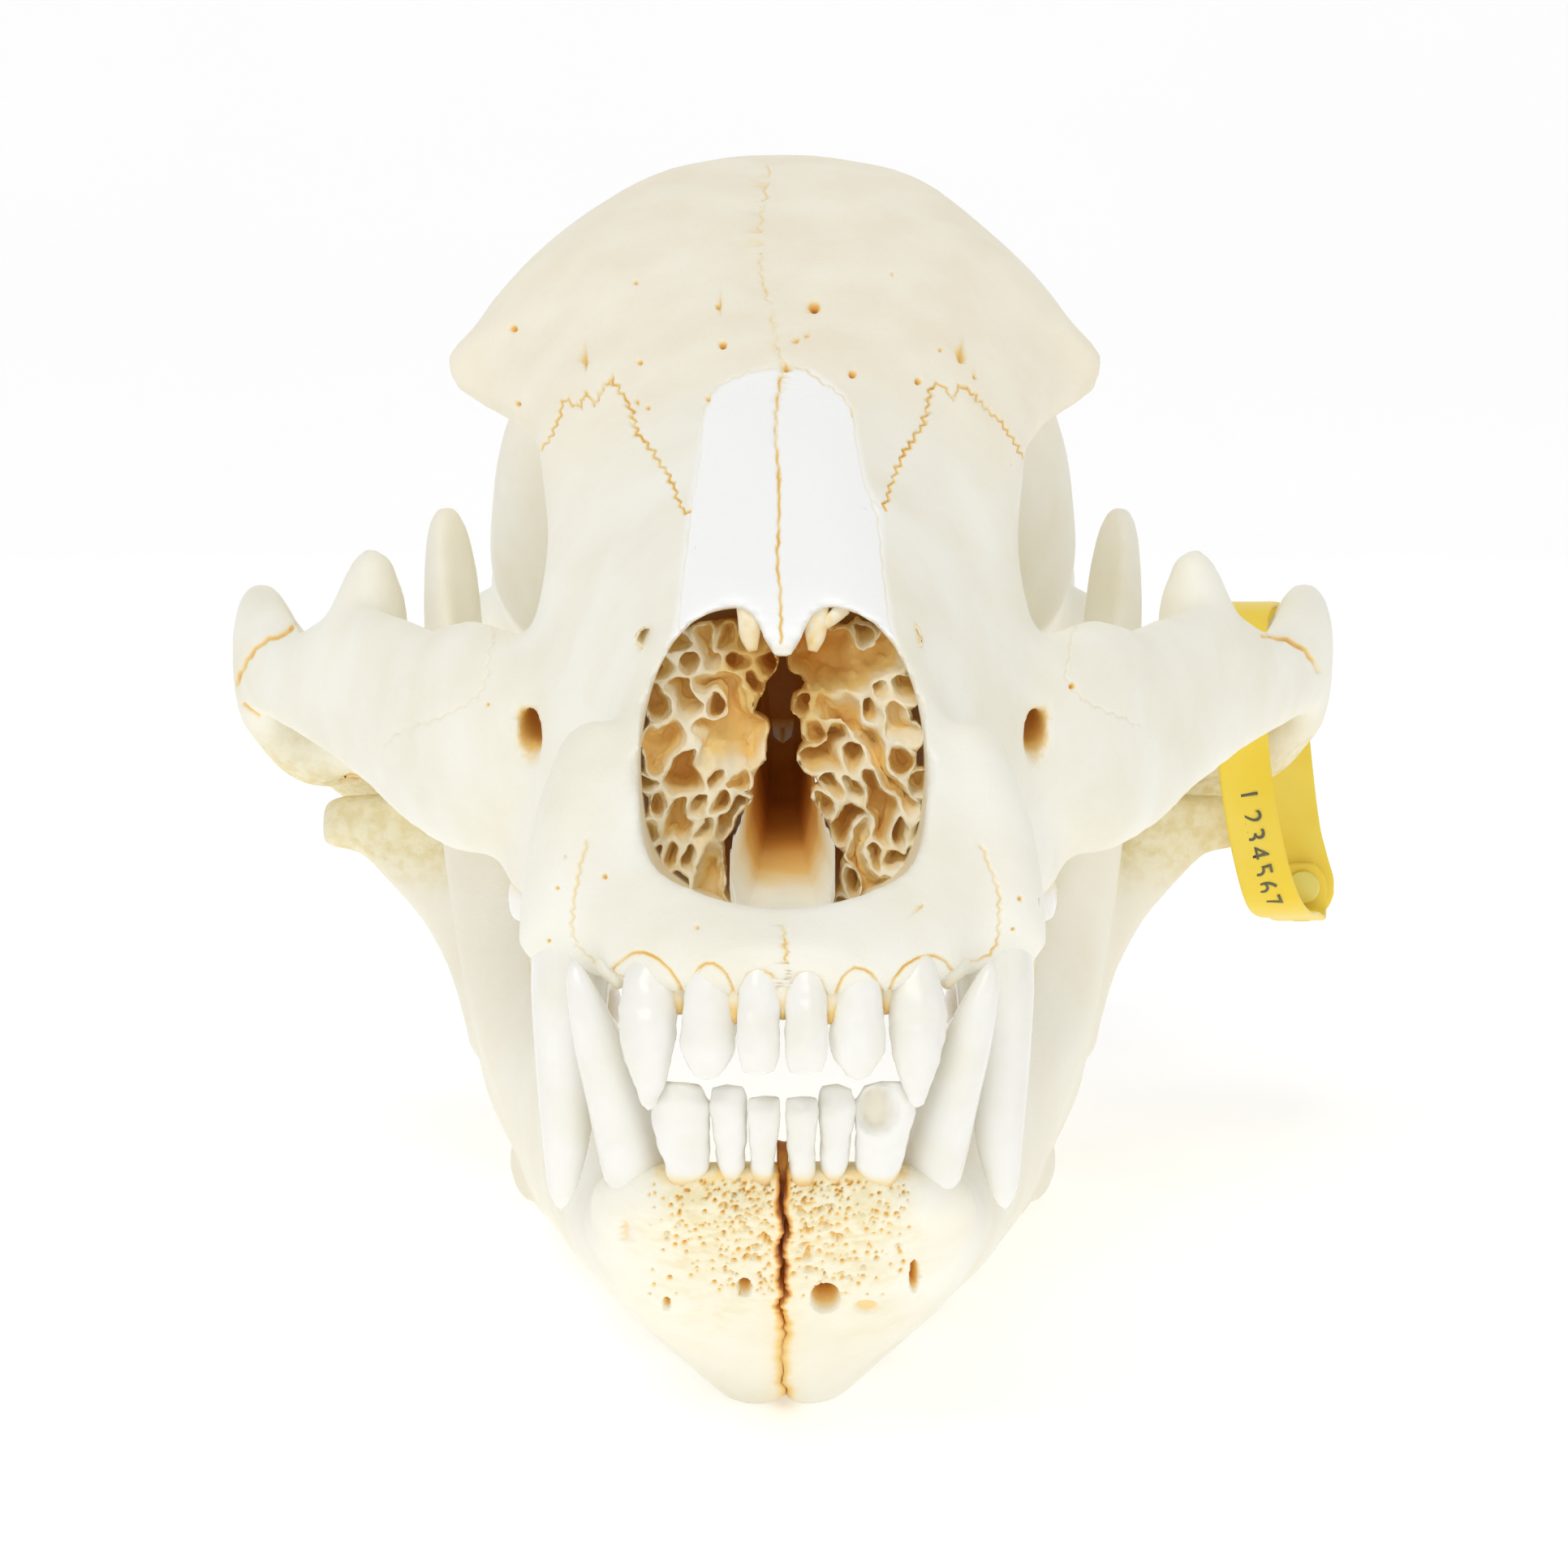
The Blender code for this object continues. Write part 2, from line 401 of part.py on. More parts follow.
LOWER_TEETH = [
    ("lower_incisor_1", [((3.2, 12, -34.5), 1.5, 1.1), ((2.9, 9, -29.5), 2.0, 1.4), ((2.6, 6.5, -24), 2.2, 1.8),
                         ((2.6, 5, -19.5), 1.7, 2.0), ((2.6, 4.6, -17.2), 0.8, 1.9)]),
    ("lower_incisor_2", [((7.2, 13, -34.5), 1.7, 1.3), ((7.1, 9.8, -29.5), 2.2, 1.7), ((7, 7, -23), 2.4, 1.9),
                         ((7, 5.6, -18.4), 1.8, 2.0), ((7, 5.2, -15.8), 0.8, 1.6)]),
    ("lower_incisor_3", [((12.4, 13.6, -34), 1.9, 2.1), ((13.0, 10, -29.5), 2.4, 2.8), ((13.4, 7.6, -23), 2.7, 3.8),
                         ((13.5, 6.4, -18.5), 2.0, 4.0), ((13.4, 6, -15.4), 0.9, 3.0)]),
    ("lower_canine", [((16.5, 36, -42), 5, 4), ((19.2, 25.5, -35), 6.8, 5.2), ((21.2, 19.6, -28), 6.6, 5.0),
                      ((23.5, 15, -19), 5.4, 4.3), ((26.3, 12.9, -10), 3.9, 3.3), ((28.7, 13, -2.5), 1.9, 1.8),
                      ((29.5, 13.4, 0.6), 0.8, 0.8)]),
    ("lower_premolar_1", [((23.5, 42, -38), 1.7, 1.6), ((23.5, 41.5, -33.5), 2.2, 2), ((23.5, 41, -30.5), 1.1, 1)]),
    ("lower_premolar_4", [((29.5, 85, -36), 4.6, 2.4), ((29.5, 85, -29), 5.9, 3.4), ((29.5, 84.5, -25), 4.4, 2.4),
                          ((29.5, 84, -22), 1.8, 1.2)]),
    ("lower_molar_1", [((30.5, 103, -34), 9.5, 3.2), ((30.5, 103, -26.5), 11.4, 5), ((30.5, 103, -22), 10.2, 4),
                       ((30.5, 103, -19), 7, 2.4)]),
    ("lower_molar_2", [((33.5, 128, -31), 10, 4), ((33, 128, -23.5), 12, 6.4), ((33, 128, -19.5), 10.8, 5.4),
                       ((33, 128, -17.5), 8, 3.6)]),
    ("lower_molar_3", [((38, 150, -25), 6.5, 4), ((37, 149.5, -17.5), 8.8, 6), ((36.8, 149.5, -14), 7.6, 5),
                       ((36.8, 149.5, -12.6), 5.2, 3.2)]),
]


def tooth_mesh(stations, grow):
    """A tooth lofted from root to tip; grow makes it thicker all round for its socket."""
    grown = [(centre, length + grow, width + grow) for centre, length, width in stations]
    if grow:
        root = Vector(stations[0][0])
        deeper = root + (root - Vector(stations[1][0])).normalized() * grow
        grown[0] = (tuple(deeper), stations[0][1] + grow, stations[0][2] + grow)
    return sweep(grown, 8, len(grown), up=(0, 1, 0), square=0.9)


# The tag's strap from its stud end at the front, over the arch's root, to the ring end behind.
STRAP_PATH = [
    ((97.2, 236.0, -11.6), 2.2),
    ((97.2, 236.2, -14.1), 4.2),
    ((97.2, 236.4, -17.2), 4.75),
    ((97, 236, -19.8), 4.75),
    ((96.3, 231.6, -21.2), 4.75),
    ((94, 223, -19.6), 4.75),
    ((91.2, 212, -18), 4.75),
    ((88.8, 205.6, -15.2), 4.75),
    ((87, 202.6, -11), 4.75),
    ((85, 200.8, -3.5), 4.75),
    ((83.2, 200.2, 6), 4.75),
    ((82.2, 200.6, 16), 4.75),
    ((81.8, 202, 25), 4.75),
    ((82.4, 206, 32.2), 4.75),
    ((83.5, 213, 36.8), 4.75),
    ((86, 222, 37.6), 4.75),
    ((89.5, 232, 34.6), 4.75),
    ((92, 238.6, 28), 4.75),
    ((93.5, 240.6, 17), 4.75),
    ((94.8, 240.6, 5), 4.75),
    ((96.2, 239.4, -6), 4.75),
    ((96.8, 238.6, -10.6), 5.3),
    ((97.1, 238.2, -16.4), 6.5),
    ((97.2, 238.2, -20), 5.4),
    ((97.2, 238.2, -22), 3.3),
    ((97.2, 238.2, -22.8), 1.6),
]
STRAP_THICKNESS = 1.2
STRAP_ROWS = 46
STUD_CENTRE = (97.2, -16)
STUD_TURNS = [(233.6, 2.6), (234.0, 3.0), (235.1, 3.0), (235.1, 1.5), (239.6, 1.5), (239.6, 4.4), (240.8, 4.4)]
STUD_HOLE = [(230, 1.85), (243, 1.85)]


def strap_mesh():
    """A flat band swept along its path, its width across the cheek."""
    path = np.array([[*centre, wide] for centre, wide in STRAP_PATH], float)
    steps = np.linalg.norm(np.diff(path[:, :3], axis=0), axis=1)
    knots = np.concatenate([[0], np.cumsum(steps)])
    smooth = ease_through(knots, path, np.linspace(0, knots[-1], STRAP_ROWS))
    rings = []
    for i, (x, y, z, wide) in enumerate(smooth):
        ahead = Vector(smooth[min(i + 1, STRAP_ROWS - 1), :3] - smooth[max(i - 1, 0), :3]).normalized()
        rise = Vector((1, 0.1, 0)).cross(ahead).normalized()
        side = ahead.cross(rise).normalized() * wide
        rise = rise * (STRAP_THICKNESS / 2)
        centre = Vector((x, y, z))
        rings.append([centre + side + rise, centre + side - rise, centre - side - rise, centre - side + rise])
    return skin_rings(rings)


def stud_mesh(turns, around):
    """The tag's stud, turned about a line that runs from front to back."""
    x, z = STUD_CENTRE
    rings = []
    for y, radius in turns:
        angles = [2 * math.pi * k / around for k in range(around)]
        rings.append([(x + radius * math.cos(a), y, z + radius * math.sin(a)) for a in angles])
    return skin_rings(rings)


def make_tag(parts, cutters):
    """The yellow strap that loops round the arch's root, and the stud that closes it."""
    strap = gathered("tag_strap", [strap_mesh()], parts)
    cut(strap, gathered("stud_hole", [stud_mesh(STUD_HOLE, 12)], cutters))
    settle(strap)
    put(strap, "tag_strap", "tag_yellow", YELLOW, 0.4)
    put(gathered("tag_stud", [stud_mesh(STUD_TURNS, 16)], parts), "tag_stud", "tag_yellow", YELLOW, 0.4)


def put(obj, name, material_name, colour, roughness):
    """Names an object and gives it its material."""
    obj.name = name
    material = bpy.data.materials.get(material_name) or bpy.data.materials.new(material_name)
    material.use_nodes = True
    shader = material.node_tree.nodes["Principled BSDF"]
    shader.inputs["Base Color"].default_value = (*colour, 1)
    shader.inputs["Roughness"].default_value = roughness
    obj.data.materials.clear()
    obj.data.materials.append(material)
    return obj


def stance():
    """From the palate's frame to the table's: tilt the nose up, then lift and centre."""
    lift = Matrix.Translation(Vector((-MIDDLE_X, -MIDDLE_Y, STAND_HEIGHT)) * MM)
    return lift @ Matrix.Rotation(-STANCE_TILT, 4, "X")


def make_cranium(parts, cutters):
    cranium = gathered("cranium", cranium_forms(), parts)
    melt(cranium, CRANIUM_GRID, FIRST_PASSES)
    settle(cranium)
    for number, form in enumerate(cranium_cuts()):
        cut(cranium, gathered(f"cranium_hollow_{number}", [form], cutters))
    settle(cranium)
    drop_crumbs(cranium.data)
    melt(cranium, CRANIUM_FINE_GRID, LAST_PASSES)
    thin_out(cranium, CRANIUM_KEEP)
    settle(cranium)
    drop_crumbs(cranium.data)
    sockets = both_sides([tooth_mesh(stations, SOCKET_GAP) for name, stations in UPPER_TEETH])
    for number, form in enumerate(sockets):
        cut(cranium, gathered(f"upper_socket_{number}", [form], cutters))
    settle(cranium)
    drop_crumbs(cranium.data)
    return put(cranium, "cranium", "bone", BONE, 0.6)


def make_jaw_half(parts, cutters):
    jaw = gathered("jaw", jaw_forms(), parts)
    melt(jaw, JAW_GRID, FIRST_PASSES)
    settle(jaw)
    for number, form in enumerate(jaw_cuts()):
        cut(jaw, gathered(f"jaw_hollow_{number}", [form], cutters))
    settle(jaw)
    melt(jaw, JAW_FINE_GRID, LAST_PASSES)
    thin_out(jaw, JAW_KEEP)
    settle(jaw)
    trim(jaw.data, (SYMPHYSIS_GAP * MM, 0, 0), (-1, 0, 0))
    for number, (name, stations) in enumerate(LOWER_TEETH):
        cut(jaw, gathered(f"lower_socket_{number}", [tooth_mesh(stations, SOCKET_GAP)], cutters))
    settle(jaw)
    jaw.data.transform(stance())
    trim(jaw.data, (0, 0, 0), (0, 0, -1))
    jaw.data.transform(stance().inverted())
    return put(jaw, "mandible_left", "bone", BONE, 0.6)


def main():
    for obj in list(bpy.data.objects):
        bpy.data.objects.remove(obj)
    parts = bpy.data.collections.new("grizzly_bear_skull")
    cutters = bpy.data.collections.new("cutters")
    bpy.context.scene.collection.children.link(parts)
    bpy.context.scene.collection.children.link(cutters)
    make_cranium(parts, cutters)
    left = make_jaw_half(parts, cutters)
    parts.objects.link(bpy.data.objects.new("mandible_right", flipped(left.data)))
    for name, stations in UPPER_TEETH + LOWER_TEETH:
        mesh = tooth_mesh(stations, 0)
        put(gathered(name, [mesh], parts), f"{name}_left", "enamel", ENAMEL, 0.3)
        put(gathered(name, [flipped(mesh)], parts), f"{name}_right", "enamel", ENAMEL, 0.3)
    make_tag(parts, cutters)
    for obj in parts.objects:
        obj.data.transform(stance())


main()
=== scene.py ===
import math

import bmesh
import bpy
import numpy as np
from mathutils import Matrix, Vector, noise


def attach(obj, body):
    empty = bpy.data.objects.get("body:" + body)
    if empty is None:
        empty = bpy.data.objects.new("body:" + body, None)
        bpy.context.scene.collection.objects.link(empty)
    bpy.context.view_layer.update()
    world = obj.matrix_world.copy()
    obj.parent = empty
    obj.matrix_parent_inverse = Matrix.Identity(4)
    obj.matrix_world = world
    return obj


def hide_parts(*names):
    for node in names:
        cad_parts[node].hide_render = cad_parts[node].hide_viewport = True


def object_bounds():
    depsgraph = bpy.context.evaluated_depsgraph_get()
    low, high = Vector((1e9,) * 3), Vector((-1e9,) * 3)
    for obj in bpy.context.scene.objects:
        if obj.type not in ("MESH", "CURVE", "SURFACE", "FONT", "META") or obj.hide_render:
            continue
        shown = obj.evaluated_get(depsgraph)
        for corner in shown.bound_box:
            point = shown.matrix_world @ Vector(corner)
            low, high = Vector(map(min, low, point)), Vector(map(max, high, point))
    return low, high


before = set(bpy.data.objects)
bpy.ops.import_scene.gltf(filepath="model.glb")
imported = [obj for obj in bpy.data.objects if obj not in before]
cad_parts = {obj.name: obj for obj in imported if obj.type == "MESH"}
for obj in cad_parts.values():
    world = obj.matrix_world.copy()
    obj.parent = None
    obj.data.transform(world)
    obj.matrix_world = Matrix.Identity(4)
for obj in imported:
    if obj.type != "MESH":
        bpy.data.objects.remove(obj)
frame_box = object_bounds()


# The cranium: the upper skull, grown together from many flat bones, from the front teeth to the neck.
# Its masses are drawn in millimetres from the tooth sockets, melted into one skin, then hollowed out.
# The seams between the old bones, the pores and the nerve holes are carved in last. The seams are stained
# amber; the pores, the nerve holes and the nose's hollows are painted amber as shade that deepens with their
# depth.
SKULL_LENGTH = 325.7
MM = (frame_box[1].y - frame_box[0].y) / SKULL_LENGTH
NOSE_UP = math.radians(2.4)
ON_TABLE = (
    Matrix.Translation(Vector((-1.8, -160.05, 76.0)) * MM)
    @ Matrix.Rotation(-NOSE_UP, 4, "X")
    @ Matrix.Scale(MM, 4)
)

# Where the photographer stood, in the skull's own millimetres, and the lens.
EYE = np.array((0.2, -654.1, 92.1))
LOOK_DOWN = math.radians(5.7)
LENS = 110.0
SENSOR = 36.0
PHOTO = 1932

# The grids in millimetres on which its forms melt together, and the share of faces that then stays.
FIRST_GRID = 1.9
CUT_GRID = 1.2
LAST_GRID = 1.3
KEPT_FACES = 0.34
# How near a seam and a pore, in pixels, each round of splitting makes the mesh finer.
FINER_BANDS = ((28, 24), (13, 12), (5.5, 6))
# How far the brow leans to one side, in millimetres, as in the photograph.
BROW_LEAN = 1.4

# Half outlines across the skull, each from the top middle line round to the bottom middle line.
CRANIUM_SECTIONS = [
    (1.0, [(0, 3.5), (4, 3.3), (7, 2.5), (9, 1), (9.5, -0.5), (8.5, -2), (6, -2.8), (3, -3), (0, -3)]),
    (5.0, [(0, 6), (6, 5.8), (11, 5), (15, 3), (17, 0), (16, -2.5), (11, -3.5), (6, -3.5), (0, -3)]),
    (12.0, [(0, 9.5), (8, 9.7), (15, 9), (21, 6.5), (24.5, 2), (24, -2), (18, -3.5), (9, -3), (0, -2)]),
    (18.0, [(0, 12.5), (9, 13), (17, 13), (23.5, 11), (27.5, 5.5), (27, 0), (21, -3.5), (11, -3), (0, -1.5)]),
    (25.0, [(0, 17), (10, 18), (19, 19), (27, 16), (33, 9), (36.5, 0.5), (30, -3), (15, -2.5), (0, -0.5)]),
    (32.0, [(0, 26), (10, 27), (18, 28), (25, 24), (32, 15), (37.5, 3), (32, -2.5), (17, -2), (0, 1)]),
    (40.0, [(0, 38), (9, 39), (16.5, 38.5), (22.5, 32), (29, 20), (35, 5), (31, -2), (18, -1), (0, 2.5)]),
    (47.0, [(0, 47), (8, 48), (15, 45.5), (21, 38.5), (27, 25), (32, 7), (30, -1.5), (18, 0), (0, 3)]),
    (60.0, [(0, 55.5), (8, 56), (14.5, 53.5), (21, 46), (27, 31), (31, 10), (30, -1), (19, 1), (0, 4)]),
    (75.0, [(0, 64), (8, 64), (15, 61), (23, 52), (31, 36), (35, 14), (33, -1), (20, 1.5), (0, 4.5)]),
    (90.0, [(0, 72), (8, 72), (17, 67), (27, 56), (36, 38), (40, 17), (38.5, -1), (22, 1.5), (0, 5)]),
    (105.0, [(0, 79.5), (10, 79), (22, 74), (33, 62), (39, 44), (43.5, 20), (42.5, -1.5), (23, 1.5), (0, 5)]),
    (118.0, [(0, 86.5), (12, 86), (26, 80), (38, 68), (37, 48), (39.5, 21), (42, -1), (23, 1.5), (0, 5)]),
    (132.0, [(0, 94), (13, 94), (28, 89), (41, 75), (34, 56), (30.5, 30), (40, 3), (24, 0), (0, 5)]),
    (145.0, [(0, 101.5), (15, 101.3), (33, 95.5), (47, 78.5), (37.5, 65), (27, 34), (36, 5), (23, 0.5),
             (0, 5)]),
    (157.0, [(0, 107.5), (17, 107.3), (38, 100.5), (54.4, 80.5), (39.5, 69.5), (25, 38), (31, 8), (20, 2),
             (0, 5.5)]),
    (165.0, [(0, 111), (17, 110.8), (37.5, 103), (48.5, 89.5), (37, 74), (24, 46), (26, 14), (18, 5),
             (0, 6.5)]),
    (172.0, [(0, 113.5), (15, 113.3), (31.5, 108.5), (42, 97.5), (36, 80), (26, 55), (22, 25), (16, 9),
             (0, 9)]),
    (182.0, [(0, 116.5), (12, 117), (24, 114), (33, 104), (34, 86), (29, 60), (22, 36), (14, 24), (0, 22)]),
    (195.0, [(0, 118.5), (8, 118), (18, 113), (28, 101), (34, 84), (34, 62), (27, 40), (15, 26), (0, 23)]),
    (212.0, [(0, 119), (4, 117.5), (13, 110), (28, 98), (41, 80), (47, 60), (40, 38), (18, 24), (0, 21)]),
    (230.0, [(0, 117.5), (3.5, 115.5), (13, 106.5), (31, 97), (46, 81), (53, 60), (50, 36), (24, 20),
             (0, 19)]),
    (250.0, [(0, 114), (3.5, 111.5), (14, 102.5), (32, 93), (46, 77), (53, 57), (52, 34), (28, 17), (0, 17)]),
    (270.0, [(0, 110), (3.5, 107), (15, 97), (31, 86), (44, 70), (51, 51), (53, 30), (30, 14), (0, 16)]),
    (285.0, [(0, 106.5), (5, 103), (17, 92), (32, 79), (44, 63), (53, 44), (56, 26), (32, 12), (0, 15)]),
    (297.0, [(0, 103.5), (11, 100), (25, 87), (37, 72), (48, 55), (57, 36), (56, 22), (30, 12), (0, 15)]),
    (305.0, [(0, 100), (15, 96), (27, 83), (37, 68), (46, 51), (52, 35), (47, 22), (25, 14), (0, 16)]),
    (311.0, [(0, 94), (11, 90), (20, 79), (28, 65), (34, 50), (38, 37), (34, 26), (18, 18), (0, 18)]),
]

# The cheek arch from the face to the ear: centre, half height, half thickness.
ARCH_PATH = [
    ((33, 90, 23), 11, 6),
    ((42, 103, 23), 16, 8.5),
    ((49.5, 113, 23), 19, 8.5),
    ((57, 124, 23), 17, 6.5),
    ((65, 139, 26), 15.5, 5.5),
    ((73, 155, 28), 14, 5.2),
    ((81, 171, 27), 10, 5),
    ((87.5, 186, 27.5), 8.6, 5),
    ((92.5, 199, 30), 11.4, 5.2),
    ((94, 210, 28.5), 14, 5.2),
    ((91.5, 222, 22.5), 11.5, 6),
    ((84, 231, 18), 9.5, 8),
    ((70, 235, 17), 8.5, 10),
    ((52, 235, 21), 10, 13),
]

# The nerve canal under each eye, from the face inwards: centre, half height, half thickness.
NERVE_CANAL = [
    ((40.5, 70, 24), 4.6, 2.6),
    ((39.6, 86, 25), 4.3, 2.3),
    ((38, 96, 28), 3.6, 2.2),
    ((37, 104, 31), 2.4, 1.6),
]


def ease_through(knots, values, wanted):
    """Smooth values at the wanted places along a line through all the given ones."""
    knots = np.asarray(knots, float)
    values = np.asarray(values, float)
    slopes = np.empty_like(values)
    slopes[1:-1] = (values[2:] - values[:-2]) / (knots[2:] - knots[:-2])[:, None]
    slopes[0] = (values[1] - values[0]) / (knots[1] - knots[0])
    slopes[-1] = (values[-1] - values[-2]) / (knots[-1] - knots[-2])
    place = np.clip(np.searchsorted(knots, wanted, side="right") - 1, 0, len(knots) - 2)
    span = (knots[place + 1] - knots[place])[:, None]
    t = (np.asarray(wanted) - knots[place])[:, None] / span
    return (
        (2 * t**3 - 3 * t**2 + 1) * values[place]
        + (t**3 - 2 * t**2 + t) * span * slopes[place]
        + (3 * t**2 - 2 * t**3) * values[place + 1]
        + (t**3 - t**2) * span * slopes[place + 1]
    )


def closed_ring(points, steps):
    around = np.asarray(points, float)
    around = np.concatenate([around[-2:], around, around[:3]])
    knots = np.arange(-2, len(points) + 3)
    return ease_through(knots, around, np.arange(steps) * len(points) / steps)


def mirrored(half):
    return half + [(-x, z) for x, z in reversed(half[1:-1])]


def skin_rings(rings):
    """A closed mesh over rings of points: a grid rolled into a tube, with its ends filled."""
    rows, columns = len(rings), len(rings[0])
    bm = bmesh.new()
    bmesh.ops.create_grid(bm, x_segments=columns, y_segments=rows - 1, size=1.0)
    for vert in bm.verts:
        column = round((vert.co.x + 1) / 2 * columns) % columns
        row = round((vert.co.y + 1) / 2 * (rows - 1))
        vert.co = Vector(rings[row][column])
    bmesh.ops.remove_doubles(bm, verts=bm.verts, dist=1e-4)
    bmesh.ops.holes_fill(bm, edges=bm.edges, sides=0)
    bmesh.ops.triangulate(bm, faces=[f for f in bm.faces if len(f.verts) > 4])
    bmesh.ops.recalc_face_normals(bm, faces=bm.faces)
    mesh = bpy.data.meshes.new("form")
    bm.to_mesh(mesh)
    bm.free()
    return mesh


def loft(sections, around, along):
    """A body through outlines that stand across the y axis."""
    knots = [y for y, outline in sections]
    wanted = np.linspace(knots[0], knots[-1], along)
    rings = np.array([closed_ring(outline, around) for y, outline in sections])
    flat = ease_through(knots, rings.reshape(len(knots), -1), wanted).reshape(along, around, 2)
    return skin_rings([[(x, y, z) for x, z in ring] for y, ring in zip(wanted, flat)])


def sweep(stations, around, along, up=(0, 0, 1), square=1.0):
    """A bar along a path of (centre, half height, half width), flattened or round."""
    table = np.array([[*centre, tall, wide] for centre, tall, wide in stations], float)
    steps = np.linalg.norm(np.diff(table[:, :3], axis=0), axis=1)
    knots = np.concatenate([[0], np.cumsum(steps)])
    smooth = ease_through(knots, table, np.linspace(0, knots[-1], along))
    centres = smooth[:, :3]
    rings = []
    for i, (x, y, z, tall, wide) in enumerate(smooth):
        ahead = Vector(centres[min(i + 1, along - 1)] - centres[max(i - 1, 0)]).normalized()
        side = ahead.cross(Vector(up)).normalized()
        rise = side.cross(ahead).normalized()
        ring = []
        for k in range(around):
            turn = 2 * math.pi * k / around
            across = math.copysign(abs(math.sin(turn)) ** square, math.sin(turn))
            high = math.copysign(abs(math.cos(turn)) ** square, math.cos(turn))
            ring.append(Vector((x, y, z)) + rise * (tall * high) + side * (wide * across))
        rings.append(ring)
    return skin_rings(rings)


def lump(centre, radii, turn=(0, 0, 0)):
    """A ball stretched to three radii and turned about its own centre, in degrees."""
    bm = bmesh.new()
    bmesh.ops.create_uvsphere(bm, u_segments=24, v_segments=14, radius=1.0)
    x, y, z = [math.radians(a) for a in turn]
    spin = Matrix.Rotation(z, 4, "Z") @ Matrix.Rotation(y, 4, "Y") @ Matrix.Rotation(x, 4, "X")
    place = Matrix.Translation(centre) @ spin @ Matrix.Diagonal((*radii, 1))
    bmesh.ops.transform(bm, verts=bm.verts, matrix=place)
    mesh = bpy.data.meshes.new("lump")
    bm.to_mesh(mesh)
    bm.free()
    return mesh


def flipped(mesh):
    """The same form on the other side of the head."""
    copy = mesh.copy()
    copy.transform(Matrix.Scale(-1, 4, (1, 0, 0)))
    copy.flip_normals()
    return copy


def both_sides(forms):
    return forms + [flipped(form) for form in forms]


def gathered(name, forms):
    """One object that holds several closed forms, overlapping or not."""
    bm = bmesh.new()
    for form in forms:
        bm.from_mesh(form)
    mesh = bpy.data.meshes.new(name)
    bm.to_mesh(mesh)
    bm.free()
    obj = bpy.data.objects.new(name, mesh)
    bpy.context.scene.collection.objects.link(obj)
    return obj


def settle(obj):
    """Replaces an object's mesh by its evaluated one and drops the modifiers."""
    bpy.context.view_layer.update()
    graph = bpy.context.evaluated_depsgraph_get()
    obj.data = bpy.data.meshes.new_from_object(obj.evaluated_get(graph))
    obj.modifiers.clear()


def melt(obj, grid, passes):
    """Merges overlapping forms into one skin and rounds where they meet."""
    remesh = obj.modifiers.new("merge", "REMESH")
    remesh.mode = "VOXEL"
    remesh.voxel_size = grid
    smooth = obj.modifiers.new("round", "SMOOTH")
    smooth.factor = 0.5
    smooth.iterations = passes
    settle(obj)


def hollow_out(obj, forms, grid):
    """Cuts away all the given forms at once."""
    cutter = gathered("cutter", forms)
    melt(cutter, grid, 1)
    boolean = obj.modifiers.new("hollow", "BOOLEAN")
    boolean.operation = "DIFFERENCE"
    boolean.solver = "EXACT"
    boolean.object = cutter
    settle(obj)
    bpy.data.objects.remove(cutter)


def drop_crumbs(mesh):
    """Keeps a mesh's largest closed piece and deletes loose bits."""
    bm = bmesh.new()
    bm.from_mesh(mesh)
    unseen = set(bm.verts)
    pieces = []
    while unseen:
        piece = set()
        rim = {unseen.pop()}
        while rim:
            piece |= rim
            rim = {e.other_vert(v) for v in rim for e in v.link_edges} - piece
        unseen -= piece
        pieces.append(piece)
    largest = max(pieces, key=len)
    crumbs = [vert for piece in pieces if piece is not largest for vert in piece]
    bmesh.ops.delete(bm, geom=crumbs, context="VERTS")
    bm.to_mesh(mesh)
    bm.free()


def points_of(mesh):
    flat = np.empty(len(mesh.vertices) * 3, np.float32)
    mesh.vertices.foreach_get("co", flat)
    return flat.reshape(-1, 3).astype(float)


def normals_of(mesh):
    flat = np.empty(len(mesh.vertices) * 3, np.float32)
    mesh.vertex_normals.foreach_get("vector", flat)
    return flat.reshape(-1, 3).astype(float)


def move_points(mesh, points):
    mesh.vertices.foreach_set("co", points.astype(np.float32).ravel())
    mesh.update()


def seen_at(points):
    """The photograph's pixel in which each point of the skull shows."""
    away = points - EYE
    depth = away[:, 1] * math.cos(LOOK_DOWN) - away[:, 2] * math.sin(LOOK_DOWN)
    rise = away[:, 1] * math.sin(LOOK_DOWN) + away[:, 2] * math.cos(LOOK_DOWN)
    scale = LENS / SENSOR * PHOTO / depth
    return np.stack([PHOTO / 2 + away[:, 0] * scale, PHOTO / 2 - rise * scale], axis=1)


def towards_eye(points, normals):
    """How squarely each point faces the photographer, from -1 to 1."""
    away = EYE - points
    return np.einsum("ij,ij->i", normals, away) / np.linalg.norm(away, axis=1)


def distance_to_line(places, line):
    """Distance of each place from a line of points, in the same units."""
    line = np.asarray(line, float)
    nearest = np.full(len(places), 1e9)
    for start, end in zip(line[:-1], line[1:]):
        reach = end - start
        t = np.clip((places - start) @ reach / max(reach @ reach, 1e-9), 0, 1)
        nearest = np.minimum(nearest, np.linalg.norm(places - start - t[:, None] * reach, axis=1))
    return nearest


